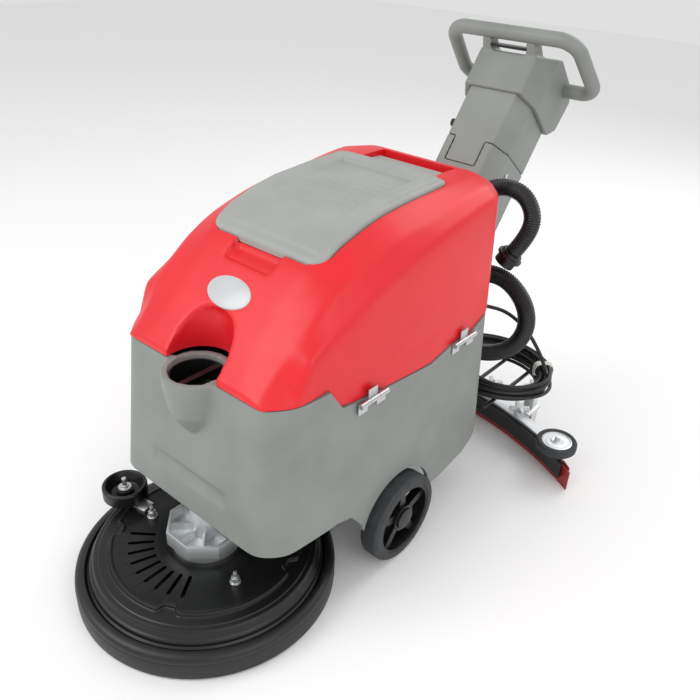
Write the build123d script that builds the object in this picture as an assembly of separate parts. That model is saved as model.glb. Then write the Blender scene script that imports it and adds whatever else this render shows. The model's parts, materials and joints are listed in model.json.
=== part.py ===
from build123d import *
import os
from math import sin, cos, tan, atan2, radians, degrees, pi

# Walk-behind floor scrubber, machine axes: -Y is the front (brush deck), +Y the rear (operator),
# +X the side with the tank hinges, +Z up from the floor. Lengths are in millimetres.
# Every piece is worked out with y = 0 at the wheel axle and is moved to the footprint's middle at the end.

os.makedirs("parts", exist_ok=True)

# ---------------------------------------------------------------- driving dimensions
WHEEL_R = 100.0            # main wheel, 8 inch
WHEEL_W = 46.0
WHEEL_OUT_X = 270.0        # outer face of a wheel
TYRE_DEPTH = 20.0
TYRE_CHAMFER = 6.0
AXLE_R = 10.0
AXLE_Z = WHEEL_R

DECK_Y = -313.6            # middle of the brush deck
SKIRT_R = 262.0            # outside of the deck's rubber skirt
SKIRT_BOTTOM = 3.0
SKIRT_TOP = 58.0
COVER_IN = 24.0            # the cover's wall ends this far inside the skirt
COVER_SLOPE = 13.5         # and draws in by this much up to its rim
COVER_SHOULDER = 36.5      # width of the shoulder round the raised middle
COVER_RIM_Z = 82.0
COVER_TOP_Z = 92.0
COVER_WALL = 5.0
BRUSH_GAP = 40.0           # between the brush and the outside of the skirt
BRISTLE_LEN = 42.0
DISC_T = 16.0
PIVOT_Y = -70.0            # deck lift pivot
PIVOT_Z = 150.0
PIVOT_R = 8.0
DECK_ARM_X = 120.0

TANK_WALL = 5.0
TANK_FLOOR_Z = 245.0
BODY_FRONT_LOW = -355.0    # front face at the bottom edge of the body
BODY_FRONT_HIGH = -323.0   # front face at the seam
BODY_LOW_Z = 200.0
BODY_SEAM_Z = 497.0
BODY_REAR = 338.0
GROOVE_Z = (262.0, 288.0)   # shallow band pressed into the front face
GROOVE_HALF = 101.0
GROOVE_DEPTH = 2.5
SEAM_GAP = 3.0
PORT_Y = -308.0            # fill port
PORT_Z = 496.0
PORT_R = 51.0
PORT_RIM = 13.0

HINGE_X = 243.5            # pins that the recovery tank tilts on
HINGE_Z = 450.0
HINGE_R = 3.0
HINGE_LEN = 78.0
HINGE_YS = (-107.0, 191.0)

TANK_TOP_Z = 750.0
RECOVERY_FLOOR_Z = 514.0
RECOVERY_REAR = 334.0
LID_HALF = 140.0
LID_FRONT = -150.0
LID_BACK = 226.0
LID_TAB_HALF = 92.0
LID_TAB_BACK = 298.0
LID_T = 16.0
LID_GAP = 3.0
LID_PIN_R = 3.0
LID_PIN_Y = 290.0
LID_PIN_Z = 733.0

LEAN = 37.0                # column's lean from vertical
COLUMN_Y = 480.0           # column's front face at the bottom of the seam tongue
COLUMN_Z = 710.0
COLUMN_FRONT_HALF = 60.0
COLUMN_HALF = 85.0
COLUMN_BEVEL = 50.0
COLUMN_DEPTH = 158.0
COLUMN_WALL = 4.0
TONGUE_HALF = 39.0
TONGUE_LEN = 60.0
SEAM_CLEAR = 1.2
FOOT_Y = 348.0
POD_HALF = 98.0
POD_FRONT_HALF = 72.0
RING_R = 16.5
RING_TOP = (162.0, 637.0, 977.0)
RING_LOW = (179.0, 764.0, 850.0)
RING_TOP_BEND = 46.0
RING_LOW_BEND = 36.0

SQ_HALF = 439.0            # half width of the squeegee blades
SQ_TIP_Y = 442.0           # blade tip
SQ_MID_Y = 568.0           # middle of the front blade
BLADE_T = 4.0
BLADE_H = 52.0
BLADE_GAP = 42.0
BAR_Z = 62.0
BAR_T = 8.0
ROLLER_IN = 63.0           # the end rollers turn this far in from the blade tips
ROLLER_Z = 74.0
ROLLER_R = 50.0
ROLLER_T = 24.0
SQ_PIVOT_Y = 372.0
SQ_PIVOT_Z = 118.0
SWING_Y = 590.0            # nozzle, which the squeegee swings about
KNOB_R = 26.0

HOSE_R = 20.0              # suction hose
DRAIN_R = 18.5             # drain hose
CORD_R = 4.5               # power cord
PIN_R = 6.0                # pivot pins of the squeegee, pedal and lever
SPOKES = 5
CASTER_Y = 250.0           # rear swivel caster
CASTER_R = 37.5
CASTER_TRAIL = 24.0
CASTER_TOP = 92.0
CASTER_STEM_R = 8.0
DRIVE_R = 60.0             # hole in the deck cover under the gearbox
SHAFT_R = 12.0
CUP_R = 80.0               # corners of the gearbox's eight-sided cup
CUP_WALL = 6.0
CUP_BASE = 14.0            # from the deck's top to the underside of the cup
CUP_FLOOR = 10.0
CUP_H = 32.0
CUP_RIBS = 8
RIB_T = 5.0
MOTOR_R = 30.0
MOTOR_TOP = 190.0
SLOTS = 9                  # radial vent slots in the deck cover
SLOT_R0, SLOT_R1 = 103.0, 156.0
SLOT_FIRST, SLOT_STEP = -141.0, 10.5
SLOT_W = 7.6
STUD_X, STUD_Y = 129.0, -352.0
BUMPER_IN = 4.5            # the wall roller's bolt stands this far inside the cover's rim
BUMPER_ANGLE = 191.0
BUMPER_R = 47.0
STRAP_T = 5.0
BUMPER_TOP = 132.0
LID_SLOT = 6.0             # the slot behind the lid's tab is this many lid gaps wide
LID_RIBS = 9
LID_RIB_Y0, LID_RIB_STEP = -28.0, 22.0
LID_RIB_HALF = 84.0
LID_RECESS = 6.0
MOUTH_HALF = 112.0         # hand hole under the lid
MOUTH_Y = (-95.0, 180.0)
NOTCH_HALF = 58.0
TONGUE_T = 30.0
POD_SOCKET = 205.0         # how far up the neck reaches inside the pod
SCREW_AT = ((22.0, 80.0), (22.0, 128.0))
PADDLE_AT = (283.4, -16.4)
PADDLE_HALF = 42.0
SWITCH_XS = (0.0, 30.0)
SWITCH_ALONG = 54.0
SWITCH_HALF = 12.0         # half width of a switch's window
KEY_X, KEY_ALONG = -42.0, 76.0
LEVER_AT = (-20.0, 92.0)
LEVER_LEN = 150.0
PEDAL_Y, PEDAL_Z = 326.0, 134.0
RACK_XS = (150.0, 226.0)
RACK_R = 5.0
RACK_Z = 184.5
NOZZLE_R = 24.0
NOZZLE_TOP = 136.0
HOSE_LOW = 138.0
SUPPORT_X = 235.0
SUPPORT_R = 24.0
SUPPORT_Z = 25.0
CLAMP_X, CLAMP_Z = 133.0, 92.0
TIE_ANGLE = 40.0
PLUG_AT = (78.0, 402.0, 248.5)
RUN_FIT = 0.05             # radial running clearance
FREE = 0.5                 # clearance between bodies that don't touch

COIL_X, COIL_Y, COIL_Z = 168.0, 506.0, 190.0
COIL_OUT = (150.0, 128.0)
COIL_BAND = 44.0
COIL_H = 42.0

POD_CROWN = (318.0, 70.0)  # the pod's highest edge and its rear edge: up the column, behind its face
POD_REAR = (305.0, 177.0)
REAR_Y = COLUMN_Y + POD_REAR[0] * sin(radians(LEAN)) + POD_REAR[1] * cos(radians(LEAN))
FRONT_Y = DECK_Y - SKIRT_R
MID_Y = (REAR_Y + FRONT_Y) / 2     # footprint's middle, which becomes y = 0


COVER_R = SKIRT_R - COVER_IN       # lowest edge of the cover
COVER_RIM_R = COVER_R - COVER_SLOPE
PLATE_R = COVER_RIM_R - COVER_SHOULDER
BRUSH_R = SKIRT_R - BRUSH_GAP
BUMPER_X = (COVER_RIM_R - BUMPER_IN) * cos(radians(BUMPER_ANGLE))
BUMPER_Y = DECK_Y + (COVER_RIM_R - BUMPER_IN) * sin(radians(BUMPER_ANGLE))


def bow_centre(apex, tip_x, tip_y):
    """Middle y and radius of the arc through the apex on the mid-plane and both tips."""
    drop = apex - tip_y
    radius = (tip_x ** 2 + drop ** 2) / (2 * drop)
    return apex - radius, radius


def bow_y(bow, x):
    """Y of a bow at x."""
    middle, radius = bow
    return middle + (radius ** 2 - x ** 2) ** 0.5


FRONT_BOW = bow_centre(SQ_MID_Y, SQ_HALF, SQ_TIP_Y)
REAR_BOW = bow_centre(SQ_MID_Y + BLADE_GAP, SQ_HALF - 8, SQ_TIP_Y + 14)
ROLLER_X = SQ_HALF - ROLLER_IN
ROLLER_Y = bow_y(FRONT_BOW, ROLLER_X) + 6
SUPPORT_Y = bow_y(FRONT_BOW, SUPPORT_X) + 80
KNOB_BAR_Y = bow_y(FRONT_BOW, SUPPORT_X) + 15
CLAMP_Y = bow_y(FRONT_BOW, CLAMP_X) + 21


# ---------------------------------------------------------------- small helpers
def face_of(points):
    return make_face(Polyline(*points, close=True))


def prism_x(points_yz, x0, x1):
    """Outline in the side view, pulled from x0 to x1."""
    return extrude(Plane.YZ.offset(x0) * face_of(points_yz), amount=x1 - x0)


def prism_z(points_xy, z0, z1):
    """Outline in the plan, pulled from z0 to z1."""
    return extrude(Plane.XY.offset(z0) * face_of(points_xy), amount=z1 - z0)


def block(x0, x1, y0, y1, z0, z1):
    return Pos((x0 + x1) / 2, (y0 + y1) / 2, (z0 + z1) / 2) * Box(x1 - x0, y1 - y0, z1 - z0)


def cyl_x(x0, x1, y, z, r):
    return Pos((x0 + x1) / 2, y, z) * Rot(0, 90, 0) * Cylinder(r, x1 - x0)


def cyl_y(x, y0, y1, z, r):
    return Pos(x, (y0 + y1) / 2, z) * Rot(90, 0, 0) * Cylinder(r, y1 - y0)


def cyl_z(x, y, z0, z1, r):
    return Pos(x, y, (z0 + z1) / 2) * Cylinder(r, z1 - z0)


def turned(points_rz, x, y):
    """Section of radius and height, turned about the vertical line at x, y."""
    return Pos(x, y, 0) * revolve(Plane.XZ * face_of(points_rz), Axis.Z)


def both_sides(half):
    """Left-right symmetric outline from the points of its +X half, in order."""
    return half + [(-x, y) for x, y in reversed(half)]


def mirrored(shape):
    return mirror(shape, Plane.YZ)


def between(low, high, share):
    return tuple(a + (b - a) * share for a, b in zip(low, high))


def bent_tube(points, radius, radii):
    """Straight runs joined by tangent arcs, with a round section."""
    path = FilletPolyline(*points, radius=radii)
    start = Plane(origin=path @ 0, z_dir=path % 0)
    return sweep(start * Circle(radius), path), path.length


def route_radii(points, share=0.45):
    """Arc radius at each corner: 0.45 of the shorter run over the tangent of half the turn."""
    radii = []
    for a, b, c in zip(points, points[1:], points[2:]):
        run_in, run_out = Vector(*b) - Vector(*a), Vector(*c) - Vector(*b)
        turn = radians(run_in.get_angle(run_out))
        radii.append(share * min(run_in.length, run_out.length) / tan(turn / 2))
    return radii


# ---------------------------------------------------------------- body outlines
# Plan corners of the grey body, from front to rear, at the bottom edge and at the seam.
BODY_LOW = [(190, BODY_FRONT_LOW), (229, -315), (240, -200), (245, 100), (243, 296), (214, BODY_REAR)]
BODY_HIGH = [(181, BODY_FRONT_HIGH), (217, -278), (231, -205), (236, 100), (232, 288), (206, 318)]


def body_plan(z, inset=0.0):
    """Plan outline of the body at height z, drawn in by inset."""
    share = (z - BODY_LOW_Z) / (BODY_SEAM_Z - BODY_LOW_Z)
    half = [between(a, b, share) for a, b in zip(BODY_LOW, BODY_HIGH)]
    front, rear = half[0][1] + inset, half[-1][1] - inset
    drawn = [(x - inset, min(max(y, front), rear)) for x, y in half]
    return both_sides(drawn)


def body_front(z):
    """Y of the front face at height z."""
    share = (z - BODY_LOW_Z) / (BODY_SEAM_Z - BODY_LOW_Z)
    return BODY_FRONT_LOW + (BODY_FRONT_HIGH - BODY_FRONT_LOW) * share


def body_block(z0, z1, inset=0.0):
    wires = [Wire.make_polygon([Vector(x, y, z) for x, y in body_plan(z, inset)]) for z in (z0, z1)]
    return Solid.make_loft(wires, ruled=True)


# Seam between the grey body and the red tank, in the side view, front to rear.
SEAM = [(-400, 497), (-323, 497), (-278, 500), (-210, 505), (-181, 461), (-146, 455),
        (-68, 448), (80, 437), (153, 451), (229, 451), (313, 482), (400, 512)]


def below_seam(lift=0.0):
    low = [(SEAM[-1][0], 0), (SEAM[0][0], 0)]
    return prism_x([(y, z + lift) for y, z in SEAM] + low, -300, 300)


# ---------------------------------------------------------------- grey body and what it holds
def solution_tank():
    """Grey lower body: skin, floor, wheel arches and the fill neck that stands out of its front."""
    skin = body_block(90, 530) & below_seam(-SEAM_GAP / 2)
    under = [(-400, BODY_LOW_Z), (-190, BODY_LOW_Z), (-150, 190), (-118, 150), (-104, 114), (144, 112),
             (241, 127), (293, 153), (BODY_REAR, 196), (400, 250), (400, 0), (-400, 0)]
    skin -= prism_x(under, -300, 300)
    arch_x = WHEEL_OUT_X - WHEEL_W - 14
    for x0, x1 in ((arch_x, 300), (-300, -arch_x)):
        skin -= cyl_x(x0, x1, 0, AXLE_Z, WHEEL_R + 12)
    hollow = body_block(80, 540, TANK_WALL)
    skin -= hollow & block(-300, 300, -400, 400, TANK_FLOOR_Z + TANK_WALL, 600)
    skin -= hollow & block(-300, 300, -400, 400, 0, TANK_FLOOR_Z)
    face = [(body_front(z) - 10, z) for z in GROOVE_Z[::-1]]
    face += [(body_front(z) + GROOVE_DEPTH, z) for z in GROOVE_Z]
    skin -= prism_x(face, -GROOVE_HALF, GROOVE_HALF)
    collar = cyl_z(0, PORT_Y, PORT_Z - 18, PORT_Z, PORT_R + PORT_RIM)
    spout = Pos(0, PORT_Y + 4, PORT_Z - 70) * Cone(26, PORT_R + PORT_RIM - 3, 104)
    bore = cyl_z(0, PORT_Y, PORT_Z - 62, PORT_Z + 20, PORT_R)
    well = cyl_z(0, PORT_Y, PORT_Z - 70, PORT_Z, PORT_R + TANK_WALL)
    return skin + collar + spout + well - bore


def fill_strainer():
    """Basket in the fill port with a pull handle across it."""
    r = PORT_R - FREE
    basket = cyl_z(0, PORT_Y, PORT_Z - 58, PORT_Z - 10, r) - cyl_z(0, PORT_Y, PORT_Z - 55, PORT_Z, r - 3)
    return basket + block(-6, 6, PORT_Y - r + 1, PORT_Y + r - 1, PORT_Z - 28, PORT_Z - 14)


def vacuum_motor():
    z0 = TANK_FLOOR_Z + TANK_WALL
    return cyl_z(0, 150, z0, z0 + 70, 72) + cyl_z(0, 150, z0 + 70, z0 + 145, 55)


def chassis_frame():
    """Steel weldment: rails, cross members, axle plates, pivots, caster post and the cord rack."""
    frame = block(-168, 168, 105, 135, 175, 205) + block(-168, 168, 285, 315, 175, 205)
    frame += block(-60, 60, 300, FOOT_Y + 8, 165, 190) + block(-60, 60, FOOT_Y, FOOT_Y + 8, 96, 325)
    frame += block(-30, 30, CASTER_Y - 30, CASTER_Y + 30, CASTER_TOP, 180)
    frame += block(-30, 30, 120, 300, 175, 205)
    for side in (-1, 1):
        def slab(x, half, *rest):
            return block(side * x - half, side * x + half, *rest)
        frame += slab(150, 18, PIVOT_Y - 10, 318, 175, 205) + slab(172, 4, -36, 36, 78, 205)
        frame += slab(DECK_ARM_X + 16, 5, PIVOT_Y - 16, PIVOT_Y + 34, PIVOT_Z - 16, 205)
        ends = sorted((side * (DECK_ARM_X - 8), side * (DECK_ARM_X + 16)))
        frame += cyl_x(ends[0], ends[1], PIVOT_Y, PIVOT_Z, PIVOT_R)
        frame += slab(36, 4, FOOT_Y + 8, SQ_PIVOT_Y + 14, SQ_PIVOT_Z - 14, SQ_PIVOT_Z + 14)
    frame += cyl_x(-36, 36, SQ_PIVOT_Y, SQ_PIVOT_Z, PIN_R)
    frame += block(-142, -132, 306, 342, PEDAL_Z - 14, 180) + cyl_x(-166, -132, PEDAL_Y, PEDAL_Z, PIN_R)
    frame += cyl_x(0, RACK_XS[1], FOOT_Y + 4, RACK_Z, RACK_R)
    for x in RACK_XS:
        frame += cyl_y(x, FOOT_Y + 4, COIL_Y + COIL_OUT[1] - 6, RACK_Z, RACK_R)
    frame -= cyl_x(-200, 200, 0, AXLE_Z, AXLE_R)
    return frame - cyl_z(0, CASTER_Y, 60, CASTER_TOP + 30, CASTER_STEM_R + RUN_FIT)


def wheel_axle():
    return cyl_x(-WHEEL_OUT_X + 6, WHEEL_OUT_X - 6, 0, AXLE_Z, AXLE_R)


def drain_valve():
    """Brass tap on the underside, behind the wheel."""
    return cyl_z(196, 196, 150, 204, 9) + cyl_x(188, 232, 196, 158, 7)


# ---------------------------------------------------------------- wheels and caster
def wheel_tyre():
    """Solid rubber tyre on the +X side."""
    x1, x0 = WHEEL_OUT_X, WHEEL_OUT_X - WHEEL_W
    c = TYRE_CHAMFER
    section = [(x0, WHEEL_R - TYRE_DEPTH), (x0, WHEEL_R - c), (x0 + c, WHEEL_R), (x1 - c, WHEEL_R),
               (x1, WHEEL_R - c), (x1, WHEEL_R - TYRE_DEPTH)]
    ring = revolve(Plane.XY * face_of(section), Axis.X)
    return Pos(0, 0, AXLE_Z) * ring


def wheel_hub():
    """Moulded hub with a rim, a web pierced between its five spokes, and a round cap."""
    x1, x0 = WHEEL_OUT_X, WHEEL_OUT_X - WHEEL_W
    rim_r = WHEEL_R - TYRE_DEPTH
    hub = cyl_x(x0 + 1, x1 - 2, 0, 0, rim_r) - cyl_x(x0, x1, 0, 0, rim_r - 6)
    hub += cyl_x(x0 + 10, x1 - 6, 0, 0, 30)
    for i in range(SPOKES):
        spoke = block(x0 + 16, x1 - 12, -9, 9, 26, rim_r - 3)
        hub += Rot(360 / SPOKES * i, 0, 0) * spoke
    hub += cyl_x(x1 - 8, x1 - 1, 0, 0, 24)
    hub -= cyl_x(x0, x1 - 6 + FREE, 0, 0, AXLE_R + RUN_FIT)
    return Pos(0, 0, AXLE_Z) * hub


def caster_fork():
    """Swivel stem, crown and two cheeks with the caster's axle between them."""
    top = CASTER_TOP - FREE
    fork = cyl_z(0, CASTER_Y, top, CASTER_TOP + 26, CASTER_STEM_R)
    fork += block(-22, 22, CASTER_Y - 18, CASTER_Y + CASTER_TRAIL + 12, top - 6, top)
    for x in (-20, 20):
        fork += block(x - 2, x + 2, CASTER_Y + CASTER_TRAIL - 14, CASTER_Y + CASTER_TRAIL + 14,
                      CASTER_R - 12, top - 3)
    return fork + cyl_x(-22, 22, CASTER_Y + CASTER_TRAIL, CASTER_R, 5)


def caster_wheel():
    y = CASTER_Y + CASTER_TRAIL
    return cyl_x(-13, 13, y, CASTER_R, CASTER_R) - cyl_x(-20, 20, y, CASTER_R, 5 + RUN_FIT)


# ---------------------------------------------------------------- brush deck
def deck_cover():
    """Moulded dish over the brush: outer wall, rim, raised middle, vent slots and a hole for the gearbox."""
    w, lip = COVER_WALL, 6
    top, rim, foot = COVER_TOP_Z, COVER_RIM_Z, SKIRT_TOP - 13
    outside = [(DRIVE_R, top), (PLATE_R, top), (PLATE_R + 6, rim + 4), (COVER_RIM_R - 4, rim + 2),
               (COVER_RIM_R, rim - 2), (COVER_R - lip, foot + 9), (COVER_R, foot + 5), (COVER_R, foot)]
    inside = [(COVER_R - lip - w, foot), (COVER_RIM_R - w, rim - w), (PLATE_R + 2 - w, rim),
              (PLATE_R - 2 - w, top - w), (DRIVE_R, top - w)]
    section = outside + inside
    cover = turned(section, 0, DECK_Y)
    slot = extrude(SlotOverall(SLOT_R1 - SLOT_R0, SLOT_W), amount=3 * w)
    slot = Pos((SLOT_R0 + SLOT_R1) / 2, 0, COVER_TOP_Z - 2 * w) * slot
    for i in range(SLOTS):
        cover -= Pos(0, DECK_Y, 0) * Rot(0, 0, SLOT_FIRST + SLOT_STEP * i) * slot
    return cover


def deck_skirt():
    """Rubber band round the deck, rounded over at the top, that keeps the water in."""
    r, c = SKIRT_R, 8
    section = [(r - 8, SKIRT_BOTTOM), (r - 2, SKIRT_BOTTOM), (r, SKIRT_BOTTOM + 4), (r, SKIRT_TOP - 2 * c),
               (r - 3, SKIRT_TOP - c), (r - 10, SKIRT_TOP - 2), (r - 18, SKIRT_TOP), (COVER_R, SKIRT_TOP - 4),
               (COVER_R, SKIRT_TOP - 13), (r - 12, SKIRT_TOP - 13), (r - 8, SKIRT_TOP - 18)]
    return turned(section, 0, DECK_Y)


def gearbox_housing():
    """Cast housing on the deck: round base, open eight-sided cup with ribs from its hub, motor and shaft."""
    z = COVER_TOP_Z + CUP_BASE
    cup = extrude(RegularPolygon(CUP_R, 8, rotation=22.5), amount=CUP_H)
    cup -= Pos(0, 0, CUP_FLOOR) * extrude(RegularPolygon(CUP_R - CUP_WALL, 8, rotation=22.5), amount=CUP_H)
    body = cyl_z(0, DECK_Y, COVER_TOP_Z, z + CUP_FLOOR / 2, DRIVE_R + 10) + Pos(0, DECK_Y, z) * cup
    reach = CUP_R * cos(pi / CUP_RIBS) - CUP_WALL / 2
    for i in range(CUP_RIBS):
        rib = block(MOTOR_R - 4, reach, -RIB_T / 2, RIB_T / 2, z + CUP_FLOOR / 2, z + CUP_H - 4)
        body += Pos(0, DECK_Y, 0) * Rot(0, 0, 360 / CUP_RIBS * i) * rib
    body += cyl_z(0, DECK_Y, z + CUP_FLOOR / 2, MOTOR_TOP, MOTOR_R)
    return body + cyl_z(0, DECK_Y, BRISTLE_LEN + 10, COVER_TOP_Z + 4, SHAFT_R)


def deck_arms():
    """Two lift arms from the deck's top to the pivots on the frame."""
    arms = []
    for side in (-1, 1):
        outline = [(DECK_Y + 70, COVER_TOP_Z), (DECK_Y + 150, COVER_TOP_Z), (PIVOT_Y + 14, PIVOT_Z - 14)]
        outline += [(PIVOT_Y + 14, PIVOT_Z + 14), (PIVOT_Y - 14, PIVOT_Z + 14)]
        outline += [(DECK_Y + 120, COVER_TOP_Z + 34)]
        arm = prism_x(outline, side * DECK_ARM_X - 5, side * DECK_ARM_X + 5)
        arms.append(arm - cyl_x(-200, 200, PIVOT_Y, PIVOT_Z, PIVOT_R + RUN_FIT))
    return Compound(children=arms)


def stud(x, y, z):
    """Threaded stud with a flange nut."""
    return cyl_z(x, y, z, z + 26, 4) + cyl_z(x, y, z, z + 3, 11) + cyl_z(x, y, z + 3, z + 14, 8)


def deck_studs():
    at = [(-STUD_X, STUD_Y), (STUD_X, STUD_Y), (-66, DECK_Y + 108), (66, DECK_Y + 108)]
    studs = [stud(x, y, COVER_TOP_Z) for x, y in at]
    x, y = BUMPER_X, BUMPER_Y
    strap = block(COVER_RIM_R - 70, COVER_RIM_R + 8, -15, 15, COVER_TOP_Z, COVER_TOP_Z + STRAP_T)
    bolt = Pos(0, DECK_Y, 0) * Rot(0, 0, BUMPER_ANGLE) * strap
    bolt += cyl_z(x, y, COVER_TOP_Z, BUMPER_TOP - 4, 8) + cyl_z(x, y, BUMPER_TOP - 4, BUMPER_TOP + 14, 5)
    bolt += cyl_z(x, y, BUMPER_TOP - 11, BUMPER_TOP - 8, 14)
    return Compound(children=studs + [bolt])


def bumper_roller():
    """Cup-shaped wall roller that turns on its bolt."""
    z0 = COVER_TOP_Z + STRAP_T + 1
    bore = 8 + RUN_FIT
    section = [(bore, z0), (BUMPER_R - 6, z0), (BUMPER_R, z0 + 6), (BUMPER_R, BUMPER_TOP - 3)]
    section += [(BUMPER_R - 3, BUMPER_TOP), (BUMPER_R - 7, BUMPER_TOP - 1), (BUMPER_R - 18, z0 + 12)]
    section += [(18, z0 + 9), (18, BUMPER_TOP - 12), (bore, BUMPER_TOP - 12)]
    return turned(section, BUMPER_X, BUMPER_Y)


def brush_disc():
    """Drive hub and the moulded block that carries the bristles."""
    z0 = BRISTLE_LEN
    disc = cyl_z(0, DECK_Y, z0, z0 + DISC_T, BRUSH_R - 4)
    disc += cyl_z(0, DECK_Y, z0 + DISC_T, z0 + DISC_T + 22, 46)
    return disc - cyl_z(0, DECK_Y, z0 + 9, 120, SHAFT_R + RUN_FIT)


def brush_bristles():
    """Ring of nylon bristles from the block to the floor."""
    return cyl_z(0, DECK_Y, 0, BRISTLE_LEN, BRUSH_R) - cyl_z(0, DECK_Y, -1, BRISTLE_LEN + 1, 70)


# ---------------------------------------------------------------- recovery tank and lid
# Cross-sections of the red tank, front to rear: y, then half width and height of the edge of the top,
# of the shoulder and of the crease above the side, and the half width at the foot.
TANK_SECTIONS = [
    (-323, 137, 508, 165, 504, 180, 499, 180),
    (-278, 115, 562, 172, 552, 215, 506, 216),
    (-247, 110, 597, 178, 588, 219, 571, 222),
    (-163, 125, 676, 188, 653, 220, 604, 230),
    (-97, 135, 711, 190, 683, 221, 637, 232),
    (16, 140, 738, 190, 712, 221, 671, 235),
    (109, 140, 746, 190, 721, 221, 694, 235),
    (288, 145, TANK_TOP_Z, 190, 740, 215, 718, 231),
    (RECOVERY_REAR, 132, TANK_TOP_Z - 2, 172, 736, 196, 713, 203),
]
TANK_FOOT_Z = 430


def recovery_block(inset=0.0):
    wires = []
    last = len(TANK_SECTIONS) - 1
    for i, (y, top_x, top_z, sh_x, sh_z, cr_x, cr_z, foot_x) in enumerate(TANK_SECTIONS):
        y += inset if i == 0 else -inset if i == last else 0
        half = [(top_x - inset, top_z - inset), (sh_x - inset, sh_z - inset), (cr_x - inset, cr_z - inset),
                (foot_x - inset, TANK_FOOT_Z)]
        wires.append(Wire.make_polygon([Vector(x, y, z) for x, z in both_sides(half)]))
    return Solid.make_loft(wires, ruled=True)


# Underside of the lid in the side view, front to rear, and its plan outline on the +X side.
LID_LINE = [(LID_FRONT, 674), (-97, 703), (-31, 723), (16, 732), (109, 739), (212, 743), (238, 728),
            (LID_TAB_BACK, 725)]
LID_TAB_TOP = 739.0


def lid_plan(grow=0.0):
    half = [(LID_HALF - 30, LID_FRONT), (LID_HALF, LID_FRONT + 28), (LID_HALF, LID_BACK - 22),
            (LID_HALF - 20, LID_BACK), (LID_TAB_HALF, LID_BACK), (LID_TAB_HALF, LID_TAB_BACK)]
    grown = [(x + grow, y + (grow if y > 0 else -grow)) for x, y in half]
    grown[-1] = (grown[-1][0], LID_TAB_BACK + grow * LID_SLOT)
    return both_sides(grown)


def recovery_tank():
    """Red tank: thin shell with a floor, a seat for the lid, a hand hole and a recess over the fill port."""
    port = cyl_z(0, PORT_Y, 400, 700, PORT_R + PORT_RIM + SEAM_GAP)
    around = cyl_z(0, PORT_Y, 400, 800, PORT_R + PORT_RIM + SEAM_GAP + TANK_WALL)
    tank = recovery_block() - below_seam(SEAM_GAP / 2)
    hollow = recovery_block(TANK_WALL)
    tank -= (hollow & block(-300, 300, -400, 400, RECOVERY_FLOOR_Z + TANK_WALL, 900)) - around
    tank -= (hollow & block(-300, 300, -400, 400, 400, RECOVERY_FLOOR_Z)) - around
    floor = [(y, z - LID_GAP) for y, z in LID_LINE[:-2]]
    slot_y = LID_TAB_BACK + LID_GAP * LID_SLOT
    seat = floor + [(225, 716), (slot_y, 716), (slot_y, 850), (LID_FRONT - LID_GAP, 850),
                    (LID_FRONT - LID_GAP, 675 - LID_GAP)]
    tray = prism_x(seat, -200, 200) & prism_z(lid_plan(LID_GAP), 600, 850)
    web_under = recovery_block(TANK_WALL) & block(-200, 200, LID_FRONT - 20, slot_y + 10, 600, 900)
    below = prism_x([(y, z - LID_GAP - TANK_WALL) for y, z in LID_LINE[:-2]]
                    + [(222, 711), (slot_y + 9, 711), (slot_y + 9, 850), (LID_FRONT - 20, 850),
                       (LID_FRONT - 20, 645)], -LID_HALF - 10, LID_HALF + 10)
    tank += web_under & below & block(-LID_HALF - 10, LID_HALF + 10, -400, 400, 600, 850)
    tank -= tray
    tank -= block(-MOUTH_HALF, MOUTH_HALF, MOUTH_Y[0], MOUTH_Y[1], 640, 850)
    tank -= port
    notch = prism_x([(-186, 640), (-140, 668), (-140, 760), (-186, 760)], -NOTCH_HALF, NOTCH_HALF)
    tank -= notch & block(-NOTCH_HALF, NOTCH_HALF, -172, -140, 655, 760)
    lug = LID_TAB_HALF + LID_GAP
    for x0 in (-lug - 9, lug):
        tank += block(x0, x0 + 9, LID_PIN_Y - 12, LID_PIN_Y + 12, 715, 742)
    tank -= cyl_x(-LID_TAB_HALF - 10, LID_TAB_HALF + 10, LID_PIN_Y, LID_PIN_Z, LID_PIN_R)
    return tank


def lid_hinge_pin():
    return cyl_x(-LID_TAB_HALF - 10, LID_TAB_HALF + 10, LID_PIN_Y, LID_PIN_Z, LID_PIN_R)


def lid_top(y, drop=0.0):
    """Height of the lid's top at y, less drop."""
    ends = zip(LID_LINE[:-3], LID_LINE[1:-2])
    (y0, z0), (y1, z1) = next(pair for pair in ends if pair[1][0] >= y)
    return z0 + (z1 - z0) * (y - y0) / (y1 - y0) + LID_T - drop


def recovery_lid():
    """Grey lid: plate with a recess full of grip ribs, and a rear tab on the hinge pin."""
    top = [(y, z + LID_T) for y, z in LID_LINE[:-2]]
    outline = LID_LINE + [(LID_TAB_BACK, LID_TAB_TOP), (240, LID_TAB_TOP + 4), (230, 752)] + top[::-1]
    lid = prism_x(outline, -200, 200) & prism_z(lid_plan(), 600, 850)
    bends = [LID_RIB_Y0 - 8] + [y for y, z in LID_LINE if LID_RIB_Y0 < y < 160] + [160]
    recess = [(y, lid_top(y, LID_RECESS)) for y in bends] + [(160, 800), (LID_RIB_Y0 - 8, 800)]
    lid -= prism_x(recess, -LID_RIB_HALF - 12, LID_RIB_HALF + 12)
    for i in range(LID_RIBS):
        y = LID_RIB_Y0 + LID_RIB_STEP * i
        lid += block(-LID_RIB_HALF, LID_RIB_HALF, y - 3, y + 3, lid_top(y, LID_RECESS + 2), lid_top(y, 1))
    return lid - cyl_x(-200, 200, LID_PIN_Y, LID_PIN_Z, LID_PIN_R + RUN_FIT)


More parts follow.
